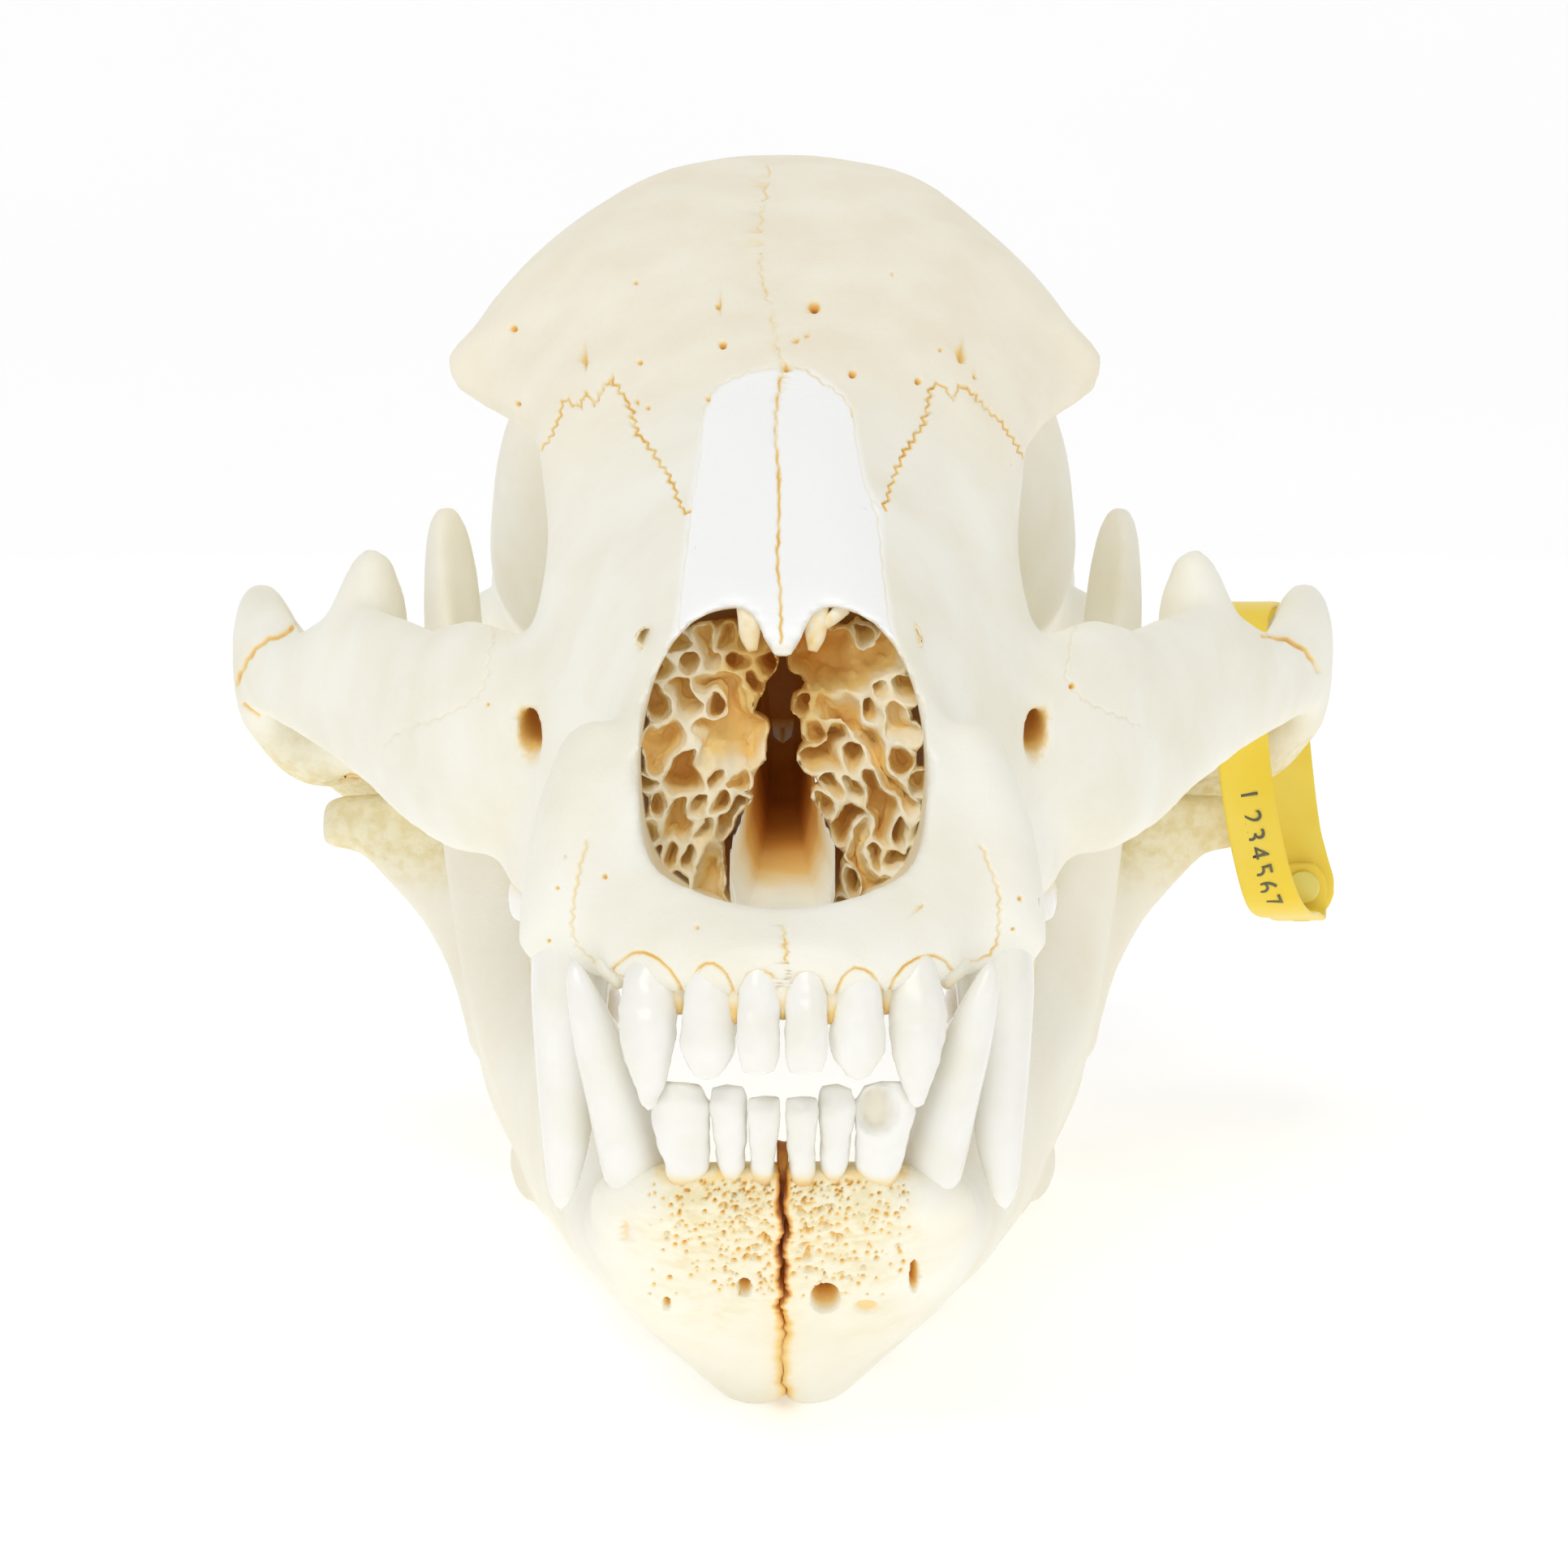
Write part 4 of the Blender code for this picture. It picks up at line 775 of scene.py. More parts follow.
def scroll_bones(side, seed):
    draw = np.random.default_rng(seed)
    bm = cell_sheet(draw)
    for vert in bm.verts:
        low = inner_edge(vert.co.z)
        share = (vert.co.x + 0.6 * CELL) / (5.6 * CELL)
        vert.co.x = low + share * (23.5 - low)
    for face in list(bm.faces):
        middle = face.calc_center_median()
        in_height = NOSE_LOW - 5 <= middle.z <= NOSE_HIGH + 3
        if not in_height or not inner_edge(middle.z) <= middle.x <= NOSE_HALF:
            bmesh.ops.delete(bm, geom=[face], context="FACES")
    shared = [edge for edge in bm.edges if len(edge.link_faces) == 2 and draw.uniform() < 0.2]
    bmesh.ops.dissolve_edges(bm, edges=shared, use_verts=False)
    cells = list(bm.faces)
    bmesh.ops.inset_individual(bm, faces=cells, thickness=CELL_WALL, use_even_offset=True)
    pushed = bmesh.ops.extrude_discrete_faces(bm, faces=cells)["faces"]
    for face in pushed:
        middle = face.calc_center_median()
        drop = Vector((draw.uniform(-0.9, 0.9), draw.uniform(2.0, 6.5), draw.uniform(-0.4, 1.6)))
        for vert in face.verts:
            vert.co = middle + (vert.co - middle) * draw.uniform(0.72, 0.95) + drop
    bmesh.ops.inset_individual(bm, faces=pushed, thickness=0.5, use_even_offset=True)
    deeper = bmesh.ops.extrude_discrete_faces(bm, faces=[f for f in pushed if f.is_valid])["faces"]
    for face in deeper:
        middle = face.calc_center_median()
        for vert in face.verts:
            vert.co = middle + (vert.co - middle) * 0.8 + Vector((0, 1.5, 0))
    rim = [edge for edge in bm.edges if edge.is_boundary]
    back = bmesh.ops.extrude_edge_only(bm, edges=rim)["geom"]
    for item in back:
        if isinstance(item, bmesh.types.BMVert):
            item.co.y = 14.0
    bmesh.ops.holes_fill(bm, edges=[edge for edge in bm.edges if edge.is_boundary], sides=0)
    bmesh.ops.triangulate(bm, faces=[face for face in bm.faces if len(face.verts) > 12])
    bmesh.ops.recalc_face_normals(bm, faces=bm.faces)
    mesh = bpy.data.meshes.new("scrolls")
    bm.to_mesh(mesh)
    bm.free()
    obj = gathered(f"nose_scrolls_{'left' if side > 0 else 'right'}", [mesh])
    rounding = obj.modifiers.new("round", "SUBSURF")
    rounding.levels = 2
    rounding.render_levels = 2
    settle(obj)
    points = points_of(obj.data)
    depth = points[:, 1].copy()
    crumble = soft_noise(points, 1.1, seed) * 0.42 + soft_noise(points, 0.5, seed + 4.0) * 0.12
    points += normals_of(obj.data) * crumble[:, None]
    wave = 3.0 * soft_noise(points * (1, 0, 1), 8.0, seed + 0.5)
    wave += 1.7 * soft_noise(points * (1, 0, 1), 3.4, seed + 2.5)
    points[:, 0] += 0.8 * soft_noise(points * (1, 0, 1), 3.0, seed + 8.5)
    points[:, 2] += 0.8 * soft_noise(points * (1, 0, 1), 3.0, seed + 6.5)
    points[:, 1] += 37 + 0.42 * (points[:, 2] - 8) + 0.42 * (20 - points[:, 0]) + wave
    points[:, 0] *= side
    move_points(obj.data, points)
    if side < 0:
        obj.data.flip_normals()
    # Painted shade: each cell grows more amber with its depth, and more again high up near the middle wall.
    amber_tint = 0.15 + 0.042 * depth + 0.08 * soft_noise(points, 3.0, 4.0)
    amber_tint += 0.25 * np.clip((points[:, 2] - 22) / 20, 0, 1) * np.clip((12 - np.abs(points[:, 0])) / 8, 0, 1)
    paint(obj.data, "amber", amber_tint)
    obj.data.materials.append(BONE)
    return on_table(obj, [])


scroll_bones(1, 21)
scroll_bones(-1, 34)


# The ploughshare bone: a thin gutter of bone along the floor of the nose, on its middle line.
# It starts wide and pale behind the front rim, and narrows and rises into the dark.
GUTTER = [
    # y, floor, top of the walls, half width
    (15, 6.2, 9.5, 6.6),
    (20, 6.4, 13.0, 7.4),
    (28, 7.0, 15.5, 7.3),
    (36, 8.5, 17.5, 6.2),
    (50, 10.5, 21.0, 5.0),
    (70, 14.0, 29.0, 3.6),
    (90, 22.5, 40.0, 2.4),
    (104, 33.0, 44.0, 1.6),
]
bm = bmesh.new()
bmesh.ops.create_grid(bm, x_segments=36, y_segments=110, size=1.0)
gutter_table = np.array(GUTTER, float)
for vert in bm.verts:
    across = vert.co.x
    along = GUTTER[0][0] + (vert.co.y + 1) / 2 * (GUTTER[-1][0] - GUTTER[0][0])
    floor, top, wide = ease_through(gutter_table[:, 0], gutter_table[:, 1:], [along])[0]
    climb = max(abs(across) - 0.42, 0) / 0.58
    torn = 0.9 * noise.noise(Vector((across * 3, along * 0.35, 2))) * climb
    vert.co = Vector((wide * math.copysign(min(abs(across) * 1.55, 1) ** 0.8, across), along, 0))
    vert.co.z = floor + (top + torn - floor) * climb**0.9
    vert.co.x += 0.25 * noise.noise(Vector((along * 0.2, across, 5)))
bmesh.ops.solidify(bm, geom=bm.faces[:], thickness=0.8)
bmesh.ops.recalc_face_normals(bm, faces=bm.faces)
gutter_mesh = bpy.data.meshes.new("gutter")
bm.to_mesh(gutter_mesh)
bm.free()
gutter = gathered("ploughshare_bone", [gutter_mesh])
places = points_of(gutter.data)
# Painted shade: amber that deepens further into the nose, a little paler higher up the walls.
shade_deeper_in = 0.05 + 0.85 * np.clip((places[:, 1] - 30) / 46, 0, 1)
amber_tint = shade_deeper_in - 0.01 * np.clip(places[:, 2] - 10, 0, 40) + 0.05 * soft_noise(places, 4.0)
paint(gutter.data, "amber", amber_tint)
gutter.data.materials.append(BONE)
on_table(gutter, [])


# The torn roots of the scroll bones: two small flat hooks, one with a barb beside it, that still hang
# from the roof of the nose, just behind the nasal bones' front edge. Thin bone, light amber, a little deeper
# towards the tips.
hook = sweep([((4.9, 51.5, 48.4), 0.9, 2.0), ((4.9, 49.4, 46.2), 1.0, 1.7), ((4.8, 48.6, 43.8), 0.9, 1.5),
              ((4.4, 48.2, 41.6), 0.5, 0.7)], 16, 16, up=(0, 1, 0))
barb = sweep([((9.0, 51.5, 47.8), 0.7, 1.2), ((7.4, 49.8, 46.4), 0.8, 1.0), ((5.6, 49, 45), 0.6, 0.7)],
             12, 12, up=(0, 1, 0))
hooks = gathered("nose_roof_hooks", [hook, flipped(hook), barb])
places = points_of(hooks.data)
paint(hooks.data, "amber", 0.16 + 0.12 * soft_noise(places, 1.2) + 0.05 * (47 - places[:, 2]) / 3)
hooks.data.materials.append(BONE)
on_table(hooks, [])


# The bony points between the front teeth, which hold each tooth in its socket. They grow out of the
# upper jaw's edge, and they are amber towards their tips, where they meet the teeth.
SOCKET_POINTS = [
    # x, y at the root, y at the tip, z of the tip, half width
    (0, 5.0, 1.8, -6.0, 1.5),
    (6.6, 6.5, 3.0, -6.8, 1.9),
    (14.3, 10.5, 7.0, -6.0, 2.2),
    (23.2, 16.5, 14, -3.4, 2.9),
]
points_of_bone = []
for x, root_y, tip_y, tip_z, wide in SOCKET_POINTS:
    spike = sweep([((x, root_y + 5, 4), 2, wide + 0.6), ((x, root_y + 1.8, 0.5), 2.4, wide + 0.4),
                   ((x, (root_y + tip_y) / 2, (1 + tip_z) / 2), 2.2, wide), ((x, tip_y, tip_z), 0.7, 0.5)],
                  16, 16, up=(0, 1, 0))
    points_of_bone += [spike] if x == 0 else both_sides([spike])
spikes = gathered("upper_socket_points", points_of_bone)
places = points_of(spikes.data)
amber_tint = 0.05 + 0.34 * np.clip((-places[:, 2] - 1.5) / 5, 0, 1) + 0.1 * soft_noise(places, 1.5)
paint(spikes.data, "amber", amber_tint)
spikes.data.materials.append(BONE)
on_table(spikes, [])


# The lower jaw: two halves that meet at the chin in a seam of gristle, dried out to a ragged gap.
# Each half carries a tooth row, a tall flat blade for the chewing muscle and a joint roller behind it.
JAW_SECTIONS = [
    (7.0, [(-3, -28.5), (7, -28.2), (12, -28.5), (14, -30), (13, -32), (7, -33), (-3, -33), (-3, -30.5)]),
    (12.0, [(-3, -28), (9, -27.8), (17, -28.5), (20.5, -31), (19, -35), (10, -37), (-3, -37), (-3, -32)]),
    (20.0, [(-3, -31), (12, -30), (22, -29.5), (26.5, -33), (24.5, -38), (13, -41.5), (-3, -41.5),
            (-3, -36)]),
    (30.0, [(-3, -37), (13, -34), (23, -32), (28, -37), (25.5, -43.5), (14, -49), (-3, -49.5), (-3, -43)]),
    (42.0, [(-3, -44), (15, -37), (24, -34), (29.3, -41), (26.5, -50), (16.5, -57), (-3, -59), (-3, -51)]),
    (52.0, [(-3, -52), (16, -39), (25, -35), (31, -43), (27, -53), (16.5, -62.8), (-3, -68.5), (-3, -60)]),
    (60.0, [(-2, -58), (17, -40), (26.5, -34), (32.5, -43), (28.5, -53.5), (17.5, -64), (4, -74.5),
            (-2, -67)]),
    (70.0, [(8, -58), (19, -41), (28, -32), (34, -44), (30.5, -54), (20.5, -63.8), (8, -74.5), (4, -68)]),
    (85.0, [(14, -57), (21.5, -41), (30, -29), (35.5, -43), (33.5, -54.5), (24.5, -63.8), (12.5, -74.3),
            (9, -67)]),
    (100.0, [(17, -55), (23, -40), (31, -26.5), (37, -41), (35.5, -54.5), (28, -63.8), (17, -74),
             (12.5, -66)]),
    (125.0, [(23.5, -53), (27, -38), (34, -23), (41, -37), (40.5, -53), (33.5, -64), (23.5, -73),
             (18.5, -65)]),
    (143.0, [(28, -52), (31, -37), (38, -21), (46.5, -34), (44, -52), (38, -63.5), (28.5, -72.3), (24, -64)]),
    (156.0, [(32, -50), (35.5, -33), (44.5, -9), (52, -28), (46, -50), (40.5, -62.5), (32, -71.5),
             (28.5, -63)]),
    (168.0, [(37, -46), (42, -18), (53.5, 16), (56.5, -16), (49.5, -46), (43, -61), (36.5, -70.6),
             (33, -61)]),
    (180.0, [(42, -42), (50, 10), (59, 43), (61.5, 16), (52.5, -42), (46, -58), (40.5, -69.8), (37, -59)]),
    (187.0, [(44.5, -40), (54, 26), (60, 55), (63, 30), (54.5, -38), (48, -56), (42.5, -69.3), (39, -57)]),
    (193.0, [(46.5, -39), (54, 28), (60, 57.5), (63, 32), (55.5, -35), (49, -54), (44, -68.8), (40.5, -56)]),
    (197.5, [(48, -39), (54, 12), (59, 50), (60.5, 14), (55.5, -33), (49.5, -52), (44.8, -68.4),
             (41.5, -55)]),
    (201.0, [(48.5, -39), (53, -12), (57, 14), (58.5, -6), (55.5, -32), (50, -51), (45.3, -68), (42.5, -54)]),
    (206.0, [(49, -38), (52, -26), (55, -12), (57, -19), (55.5, -31), (51, -49), (46.2, -67), (44, -53)]),
]

# Nerve and vessel holes of the chin: pixel, radius across and down in pixels, depth in millimetres.
CHIN_HOLES = [
    ((917, 1587), 7, 10, 4.0), ((1017, 1600), 15, 15, 5.0), ((821, 1606), 4, 7, 1.6),
    ((1127, 1573), 5, 17, 2.2), ((1068, 1611), 14, 7, 0.7), ((769, 1517), 6, 13, 0.6),
    ((944, 1528), 3.5, 4.5, 1.2), ((932, 1537), 3.5, 4, 1.1), ((911, 1500), 3.2, 3.2, 1.2),
    ((921, 1515), 3, 3, 1.1), ((905, 1473), 2.6, 2.6, 1.0), ((996, 1564), 4.5, 4, 0.9),
    ((1033, 1526), 6, 5, 1.0), ((1018, 1512), 4, 4, 1.1), ((997, 1518), 4, 3.5, 0.9),
    ((996, 1550), 4.5, 4, 0.8), ((1024, 1487), 3, 3, 1.1), ((1012, 1490), 3, 3, 1.1),
    ((987, 1495), 4, 3.5, 0.9), ((989, 1535), 3, 3, 0.8), ((894, 1487), 3, 3, 0.8),
    ((907, 1490), 3.5, 3, 0.9), ((836, 1509), 3, 3, 0.6), ((822, 1520), 3, 3, 0.6), ((929, 1550), 3, 3, 0.8),
    ((1064, 1562), 3, 3, 0.6), ((1047, 1574), 3, 3, 0.6), ((1107, 1535), 3.5, 3, 0.6),
]
CHIN_PIT_COUNT = 260
CHIN_MIDDLE = 963
CHIN_TOP = 1452
JAW_GAP_TOP = 0.42
JAW_GAP_LOW = 0.06


def jaw_forms():
    body = loft(JAW_SECTIONS, 56, 130)
    knuckle = sweep([((49, 211, -2), 4, 4), ((60, 212, -1.3), 5.6, 5.2), ((74, 212, -1.6), 5.6, 5.2),
                     ((83.5, 211, -1.2), 4.6, 4.2)], 24, 18)
    neck = sweep([((71, 210.5, 0), 4.2, 9), ((65, 209, -7), 4.4, 8.4), ((59.5, 206.5, -15), 4.8, 7.2),
                  ((55, 203, -26), 5, 5.6), ((51.5, 198, -42), 5, 4.4)], 20, 18, up=(0, 1, 0))
    angle = sweep([((44.5, 196, -62), 7, 4.2), ((46, 207, -62.5), 6, 3.8), ((46.5, 217, -62), 4.2, 2.8)],
                  18, 12)
    blade_tip = sweep([((57.6, 189, 26), 11, 5.4), ((58.2, 191, 37), 9, 5.2), ((58.8, 192.6, 47), 6.6, 4.5),
                       ((59.4, 193.6, 53.5), 4.6, 3.4), ((59.6, 194, 57), 2.6, 1.8)], 20, 16, up=(0, 1, 0))
    return [body, knuckle, neck, angle, blade_tip]


def cut_flat(mesh, place, away):
    """Cuts a mesh off along a plane and closes it."""
    bm = bmesh.new()
    bm.from_mesh(mesh)
    everything = bm.verts[:] + bm.edges[:] + bm.faces[:]
    bmesh.ops.bisect_plane(bm, geom=everything, dist=1e-4, plane_co=place, plane_no=away, clear_outer=True)
    bmesh.ops.holes_fill(bm, edges=[edge for edge in bm.edges if edge.is_boundary], sides=0)
    bmesh.ops.triangulate(bm, faces=[face for face in bm.faces if len(face.verts) > 4])
    bm.to_mesh(mesh)
    bm.free()


def chin_pits(side):
    """The many small pits of the chin's porous front, thicker towards the seam."""
    draw = np.random.default_rng(11 if side > 0 else 12)
    pits = []
    while len(pits) < CHIN_PIT_COUNT:
        across = draw.uniform(10, 165)
        down = draw.uniform(CHIN_TOP, 1600)
        if draw.uniform() < (1 - across / 190) * (1 - (down - CHIN_TOP) / 210):
            pits.append(((CHIN_MIDDLE + side * across, down), draw.uniform(1.2, 3.0), draw.uniform(0.35, 0.9)))
    return pits


def jaw_half(side, name, node):
    forms = jaw_forms() if side > 0 else [flipped(form) for form in jaw_forms()]
    jaw = gathered(name, forms)
    melt(jaw, 1.7, 4)
    muscle_hollow = lump((68.5 * side, 181, -18), (13, 16, 26), (0, 14 * side, 14 * side))
    hollow_out(jaw, [muscle_hollow], 1.2)
    melt(jaw, 1.15, 2)
    cut_flat(jaw.data, (0, 0, 0), (-side, 0, 0))
    pits = chin_pits(side)
    for spread in (12, 6):
        points = points_of(jaw.data)
        pixels = seen_at(points)
        front = (towards_eye(points, normals_of(jaw.data)) > 0) & (points[:, 1] < 75)
        wanted = (np.abs(pixels[:, 0] - CHIN_MIDDLE) < 175) & (pixels[:, 1] > 1435) & (pixels[:, 1] < 1625)
        refine(jaw.data, wanted & front)
    points = points_of(jaw.data)
    normals = normals_of(jaw.data)
    pixels = seen_at(points)
    front = np.clip(towards_eye(points, normals) * 5, 0, 1) * (points[:, 1] < 75)
    sink = 0.15 * soft_noise(points, 14.0, 1.0) + 0.05 * soft_noise(points, 4.0, 5.0)
    amber = np.zeros(len(points))
    # Each pit is sunk in and painted amber in step with its depth: painted shade in the pit.
    for (u, v), radius, depth in pits:
        apart = np.hypot(pixels[:, 0] - u, pixels[:, 1] - v) / radius
        shape = np.exp(-(apart**2)) * front
        sink -= depth * shape
        amber = np.maximum(amber, shape * depth * 0.95)
    # Each hole is sunk in and painted amber in step with its depth: painted shade in the hole.
    for (u, v), wide, tall, depth in CHIN_HOLES:
        apart = np.hypot((pixels[:, 0] - u) / wide, (pixels[:, 1] - v) / tall)
        shape = np.clip((1.25 - apart) / 0.5, 0, 1) * front
        sink -= depth * shape
        amber = np.maximum(amber, shape * min(0.06 + 0.3 * depth, 0.95))
    moved = points + normals * sink[:, None]
    seam = np.clip(1 - np.abs(points[:, 0]) / 1.2, 0, 1)
    open_wide = np.clip((points[:, 2] + 62) / 14, 0, 1)
    wander = 0.9 * soft_noise(points * (0, 1, 1), 5.0, 9.0) + 0.6 * soft_noise(points * (0, 1, 1), 1.7, 4.0)
    wander *= np.clip((-28 - points[:, 2]) / 6, 0, 1)
    ragged_edge = 0.22 * soft_noise(points, 1.3, 2.0 * side) * (0.3 + 0.7 * open_wide)
    gap = JAW_GAP_LOW + (JAW_GAP_TOP - JAW_GAP_LOW) * open_wide + ragged_edge
    drift = np.clip(1.5 - np.abs(points[:, 0]) / 2.4, 0, 1) * wander
    moved[:, 0] += drift + seam * side * np.maximum(gap, JAW_GAP_LOW)
    move_points(jaw.data, moved)
    # Painted shade in the chin's seam: its faces turn amber, deeper where the gap opens wider.
    seam_gap_shade = np.clip(1.15 - np.abs(points[:, 0]) / 1.2, 0, 1)
    amber = np.maximum(amber, seam_gap_shade * (0.45 + 0.4 * open_wide))
    amber = np.maximum(amber, 0.12 * np.clip(1.3 - np.abs(points[:, 0]) / 3.5, 0, 1))
    socket_edge = np.clip((points[:, 2] + 31.5) / 2, 0, 1) * (points[:, 1] < 20) * (np.abs(points[:, 0]) < 18)
    amber = np.maximum(amber, (0.2 + 0.15 * soft_noise(points, 1.5, 6.0)) * socket_edge)
    paint(jaw.data, "amber", amber)
    paint(jaw.data, "warm", 0.3 * np.clip((points[:, 1] - 60) / 60, 0, 1))
    paint(jaw.data, "chalk", np.zeros(len(points)))
    uneven = 30 * soft_noise(points, 6.0, 8.0)
    block = np.clip((185 + uneven - np.abs(pixels[:, 0] - CHIN_MIDDLE)) / 70, 0, 1)
    block *= np.clip((1660 + uneven - pixels[:, 1]) / 140, 0, 1) * (0.2 + 0.55 * front) * (points[:, 1] < 75)
    rough_joint = np.clip((points[:, 2] + 14) / 8, 0, 1) * np.clip((8 - points[:, 2]) / 4, 0, 1)
    rough_joint *= (points[:, 1] > 200) * (np.abs(points[:, 0]) > 58) * 0.8
    paint(jaw.data, "pitted", np.maximum(block, rough_joint))
    jaw.data.materials.append(BONE)
    return on_table(jaw, [node])


jaw_half(1, "jaw_bone_left", "mandible_left")
jaw_half(-1, "jaw_bone_right", "mandible_right")


# The gristle in the chin's seam: a thin dried plate, amber to dark brown, that once tied the two
# halves together. It fills the gap between them and stays just behind the bone's surface.
GRISTLE_EDGE = [
    (10.4, -27.5), (12, -25), (15, -26), (19, -31), (30, -39), (42, -46.5), (52, -55), (57, -61),
    (58, -67), (56, -68.5), (52, -64.5), (43, -55.5), (31, -45.5), (21, -38), (14, -34), (10.6, -30),
]
GRISTLE_HALF = 0.8
bm = bmesh.new()
outline = closed_ring(GRISTLE_EDGE, 120)
rim = [bm.verts.new((-GRISTLE_HALF, y, z)) for y, z in outline]
plate = bm.faces.new(rim)
far = bmesh.ops.extrude_face_region(bm, geom=[plate])["geom"]
far_corners = [item for item in far if isinstance(item, bmesh.types.BMVert)]
bmesh.ops.translate(bm, verts=far_corners, vec=(2 * GRISTLE_HALF, 0, 0))
bmesh.ops.triangulate(bm, faces=[face for face in bm.faces if len(face.verts) > 4])
bmesh.ops.subdivide_edges(bm, edges=bm.edges[:], cuts=2, use_grid_fill=True)
bmesh.ops.recalc_face_normals(bm, faces=bm.faces)
gristle_mesh = bpy.data.meshes.new("gristle")
bm.to_mesh(gristle_mesh)
bm.free()
gristle = gathered("chin_gristle", [gristle_mesh])
places = points_of(gristle.data)
swell = 0.5 * soft_noise(places, 1.6, 3.0)
move_points(gristle.data, places + normals_of(gristle.data) * swell[:, None] * (0, 1, 1))
dark = np.clip((places[:, 2] + 60) / 26, 0, 1)
amber_tint = 0.66 + 0.12 * dark + 0.2 * soft_noise(places, 5.0) + 0.15 * soft_noise(places, 1.2)
paint(gristle.data, "amber", amber_tint)
gristle.data.materials.append(BONE)
on_table(gristle, [])


# The teeth: 36 of them, rooted in the bone. Enamel crowns, glossy white, over roots that yellow
# towards the socket. Each is drawn from root to tip as centre, half length and half width.
UPPER_TEETH = [
    ("upper_incisor_1", [((3.2, 12, 4), 2.0, 1.7), ((3.3, 4.2, 0), 2.6, 2.4), ((3.3, 1.8, -4.5), 2.6, 2.95),
                         ((3.3, -0.4, -9.5), 2.0, 2.95), ((3.3, -1.2, -13.4), 0.9, 2.3)]),
    ("upper_incisor_2", [((9.4, 15, 5), 2.3, 2.0), ((9.9, 6.4, 0.6), 3.1, 3.1), ((10.3, 4.3, -5.5), 2.8, 3.7),
                         ((10.4, 2.6, -10.5), 2.1, 3.75), ((10.5, 2.1, -14.6), 0.9, 1.7)]),
    ("upper_incisor_3", [((16.6, 18, 6), 3, 2.6), ((18.1, 10.9, -0.2), 3.5, 3.5),
                         ((18.8, 7.2, -6.5), 3.3, 4.1),
                         ((18.7, 4.9, -12), 2.5, 3.3), ((18.6, 4.2, -19), 1.0, 1.1)]),
    ("upper_canine", [((28.6, 37, 14), 5, 3.6), ((30, 31.5, 6), 7, 5.2), ((30.4, 27.7, -3), 7.5, 5.7),
                      ((30.7, 25.9, -14), 6, 4.9), ((31, 25.2, -25), 4.2, 3.7), ((31.7, 25.8, -34), 2.2, 2.1),
                      ((32, 26.2, -37.5), 0.8, 0.8)]),
    ("upper_premolar_1", [((33.5, 49, 5), 1.8, 1.8), ((33.5, 48.5, -1), 2.4, 2.2),
                          ((33.5, 48, -4.5), 1.2, 1.1)]),
    ("upper_premolar_3", [((34, 70, 5), 1.9, 1.8), ((34, 69.5, -1), 2.6, 2.2), ((34, 69, -4.5), 1.2, 1.1)]),
    ("upper_premolar_4", [((34.5, 87, 6), 6, 3.6), ((35.2, 87, -1), 8, 4.6), ((35.6, 86.5, -5), 6.5, 3.6),
                          ((35.6, 86, -8.5), 2.5, 1.6)]),
    ("upper_molar_1", [((36, 107, 6), 8.5, 5), ((36.6, 107, -1), 10.4, 7.2), ((36.6, 107, -5.5), 9.2, 6.2),
                       ((36.4, 107, -7.5), 6.5, 4)]),
    ("upper_molar_2", [((33.4, 136, 6), 14, 4.6), ((33.4, 136, -0.5), 16.5, 7.4),
                       ((33.4, 136, -4.5), 15.3, 6.5),
                       ((33.4, 136, -6), 12, 4.4)]),
]
LOWER_TEETH = [
    ("lower_incisor_1", [((3.2, 12, -34.5), 1.5, 1.1), ((2.9, 9, -29.5), 1.9, 1.6),
                         ((2.65, 6.5, -24), 2.0, 2.0),
                         ((2.65, 5, -19.5), 1.6, 2.3), ((2.65, 4.6, -17.2), 0.8, 2.25)]),
    ("lower_incisor_2", [((7.2, 13, -34.5), 1.7, 1.3), ((7.2, 9.8, -29.5), 2.1, 1.7),
                         ((7.4, 7.4, -23), 2.2, 2.3),
                         ((7.55, 6, -18.6), 1.7, 2.6), ((7.7, 5.7, -15.8), 0.8, 2.2)]),
    ("lower_incisor_3", [((12.4, 13.6, -34), 1.9, 2.1), ((13.2, 10, -29.5), 2.3, 2.9),
                         ((13.9, 7.8, -23), 2.5, 3.8),
                         ((14.3, 6.7, -18.5), 1.9, 4.2), ((14.0, 6.3, -15.4), 0.9, 3.1)]),
    ("lower_canine", [((16.5, 36, -42), 5, 4), ((19.2, 25.5, -35), 6.8, 5.2), ((21.2, 19.6, -28), 6.6, 5.0),
                      ((23.5, 15, -19), 5.4, 4.3), ((26.3, 12.9, -10), 3.9, 3.3),
                      ((28.7, 13, -2.5), 1.9, 1.8), ((29.5, 13.4, 0.6), 0.8, 0.8)]),
    ("lower_premolar_1", [((23.5, 42, -38), 1.7, 1.6), ((23.5, 41.5, -33.5), 2.2, 2),
                          ((23.5, 41, -30.5), 1.1, 1)]),
    ("lower_premolar_4", [((29.5, 85, -36), 4.6, 2.4), ((29.5, 85, -29), 5.9, 3.4),
                          ((29.5, 84.5, -25), 4.4, 2.4),
                          ((29.5, 84, -22), 1.8, 1.2)]),
    ("lower_molar_1", [((30.5, 103, -34), 9.5, 3.2), ((30.5, 103, -26.5), 11.4, 5),
                       ((30.5, 103, -22), 10.2, 4), ((30.5, 103, -19), 7, 2.4)]),
    ("lower_molar_2", [((33.5, 128, -31), 10, 4), ((33, 128, -23.5), 12, 6.4), ((33, 128, -19.5), 10.8, 5.4),
                       ((33, 128, -17.5), 8, 3.6)]),
    ("lower_molar_3", [((38, 150, -25), 6.5, 4), ((37, 149.5, -17.5), 8.8, 6), ((36.8, 149.5, -14), 7.6, 5),
                       ((36.8, 149.5, -12.6), 5.2, 3.2)]),
]


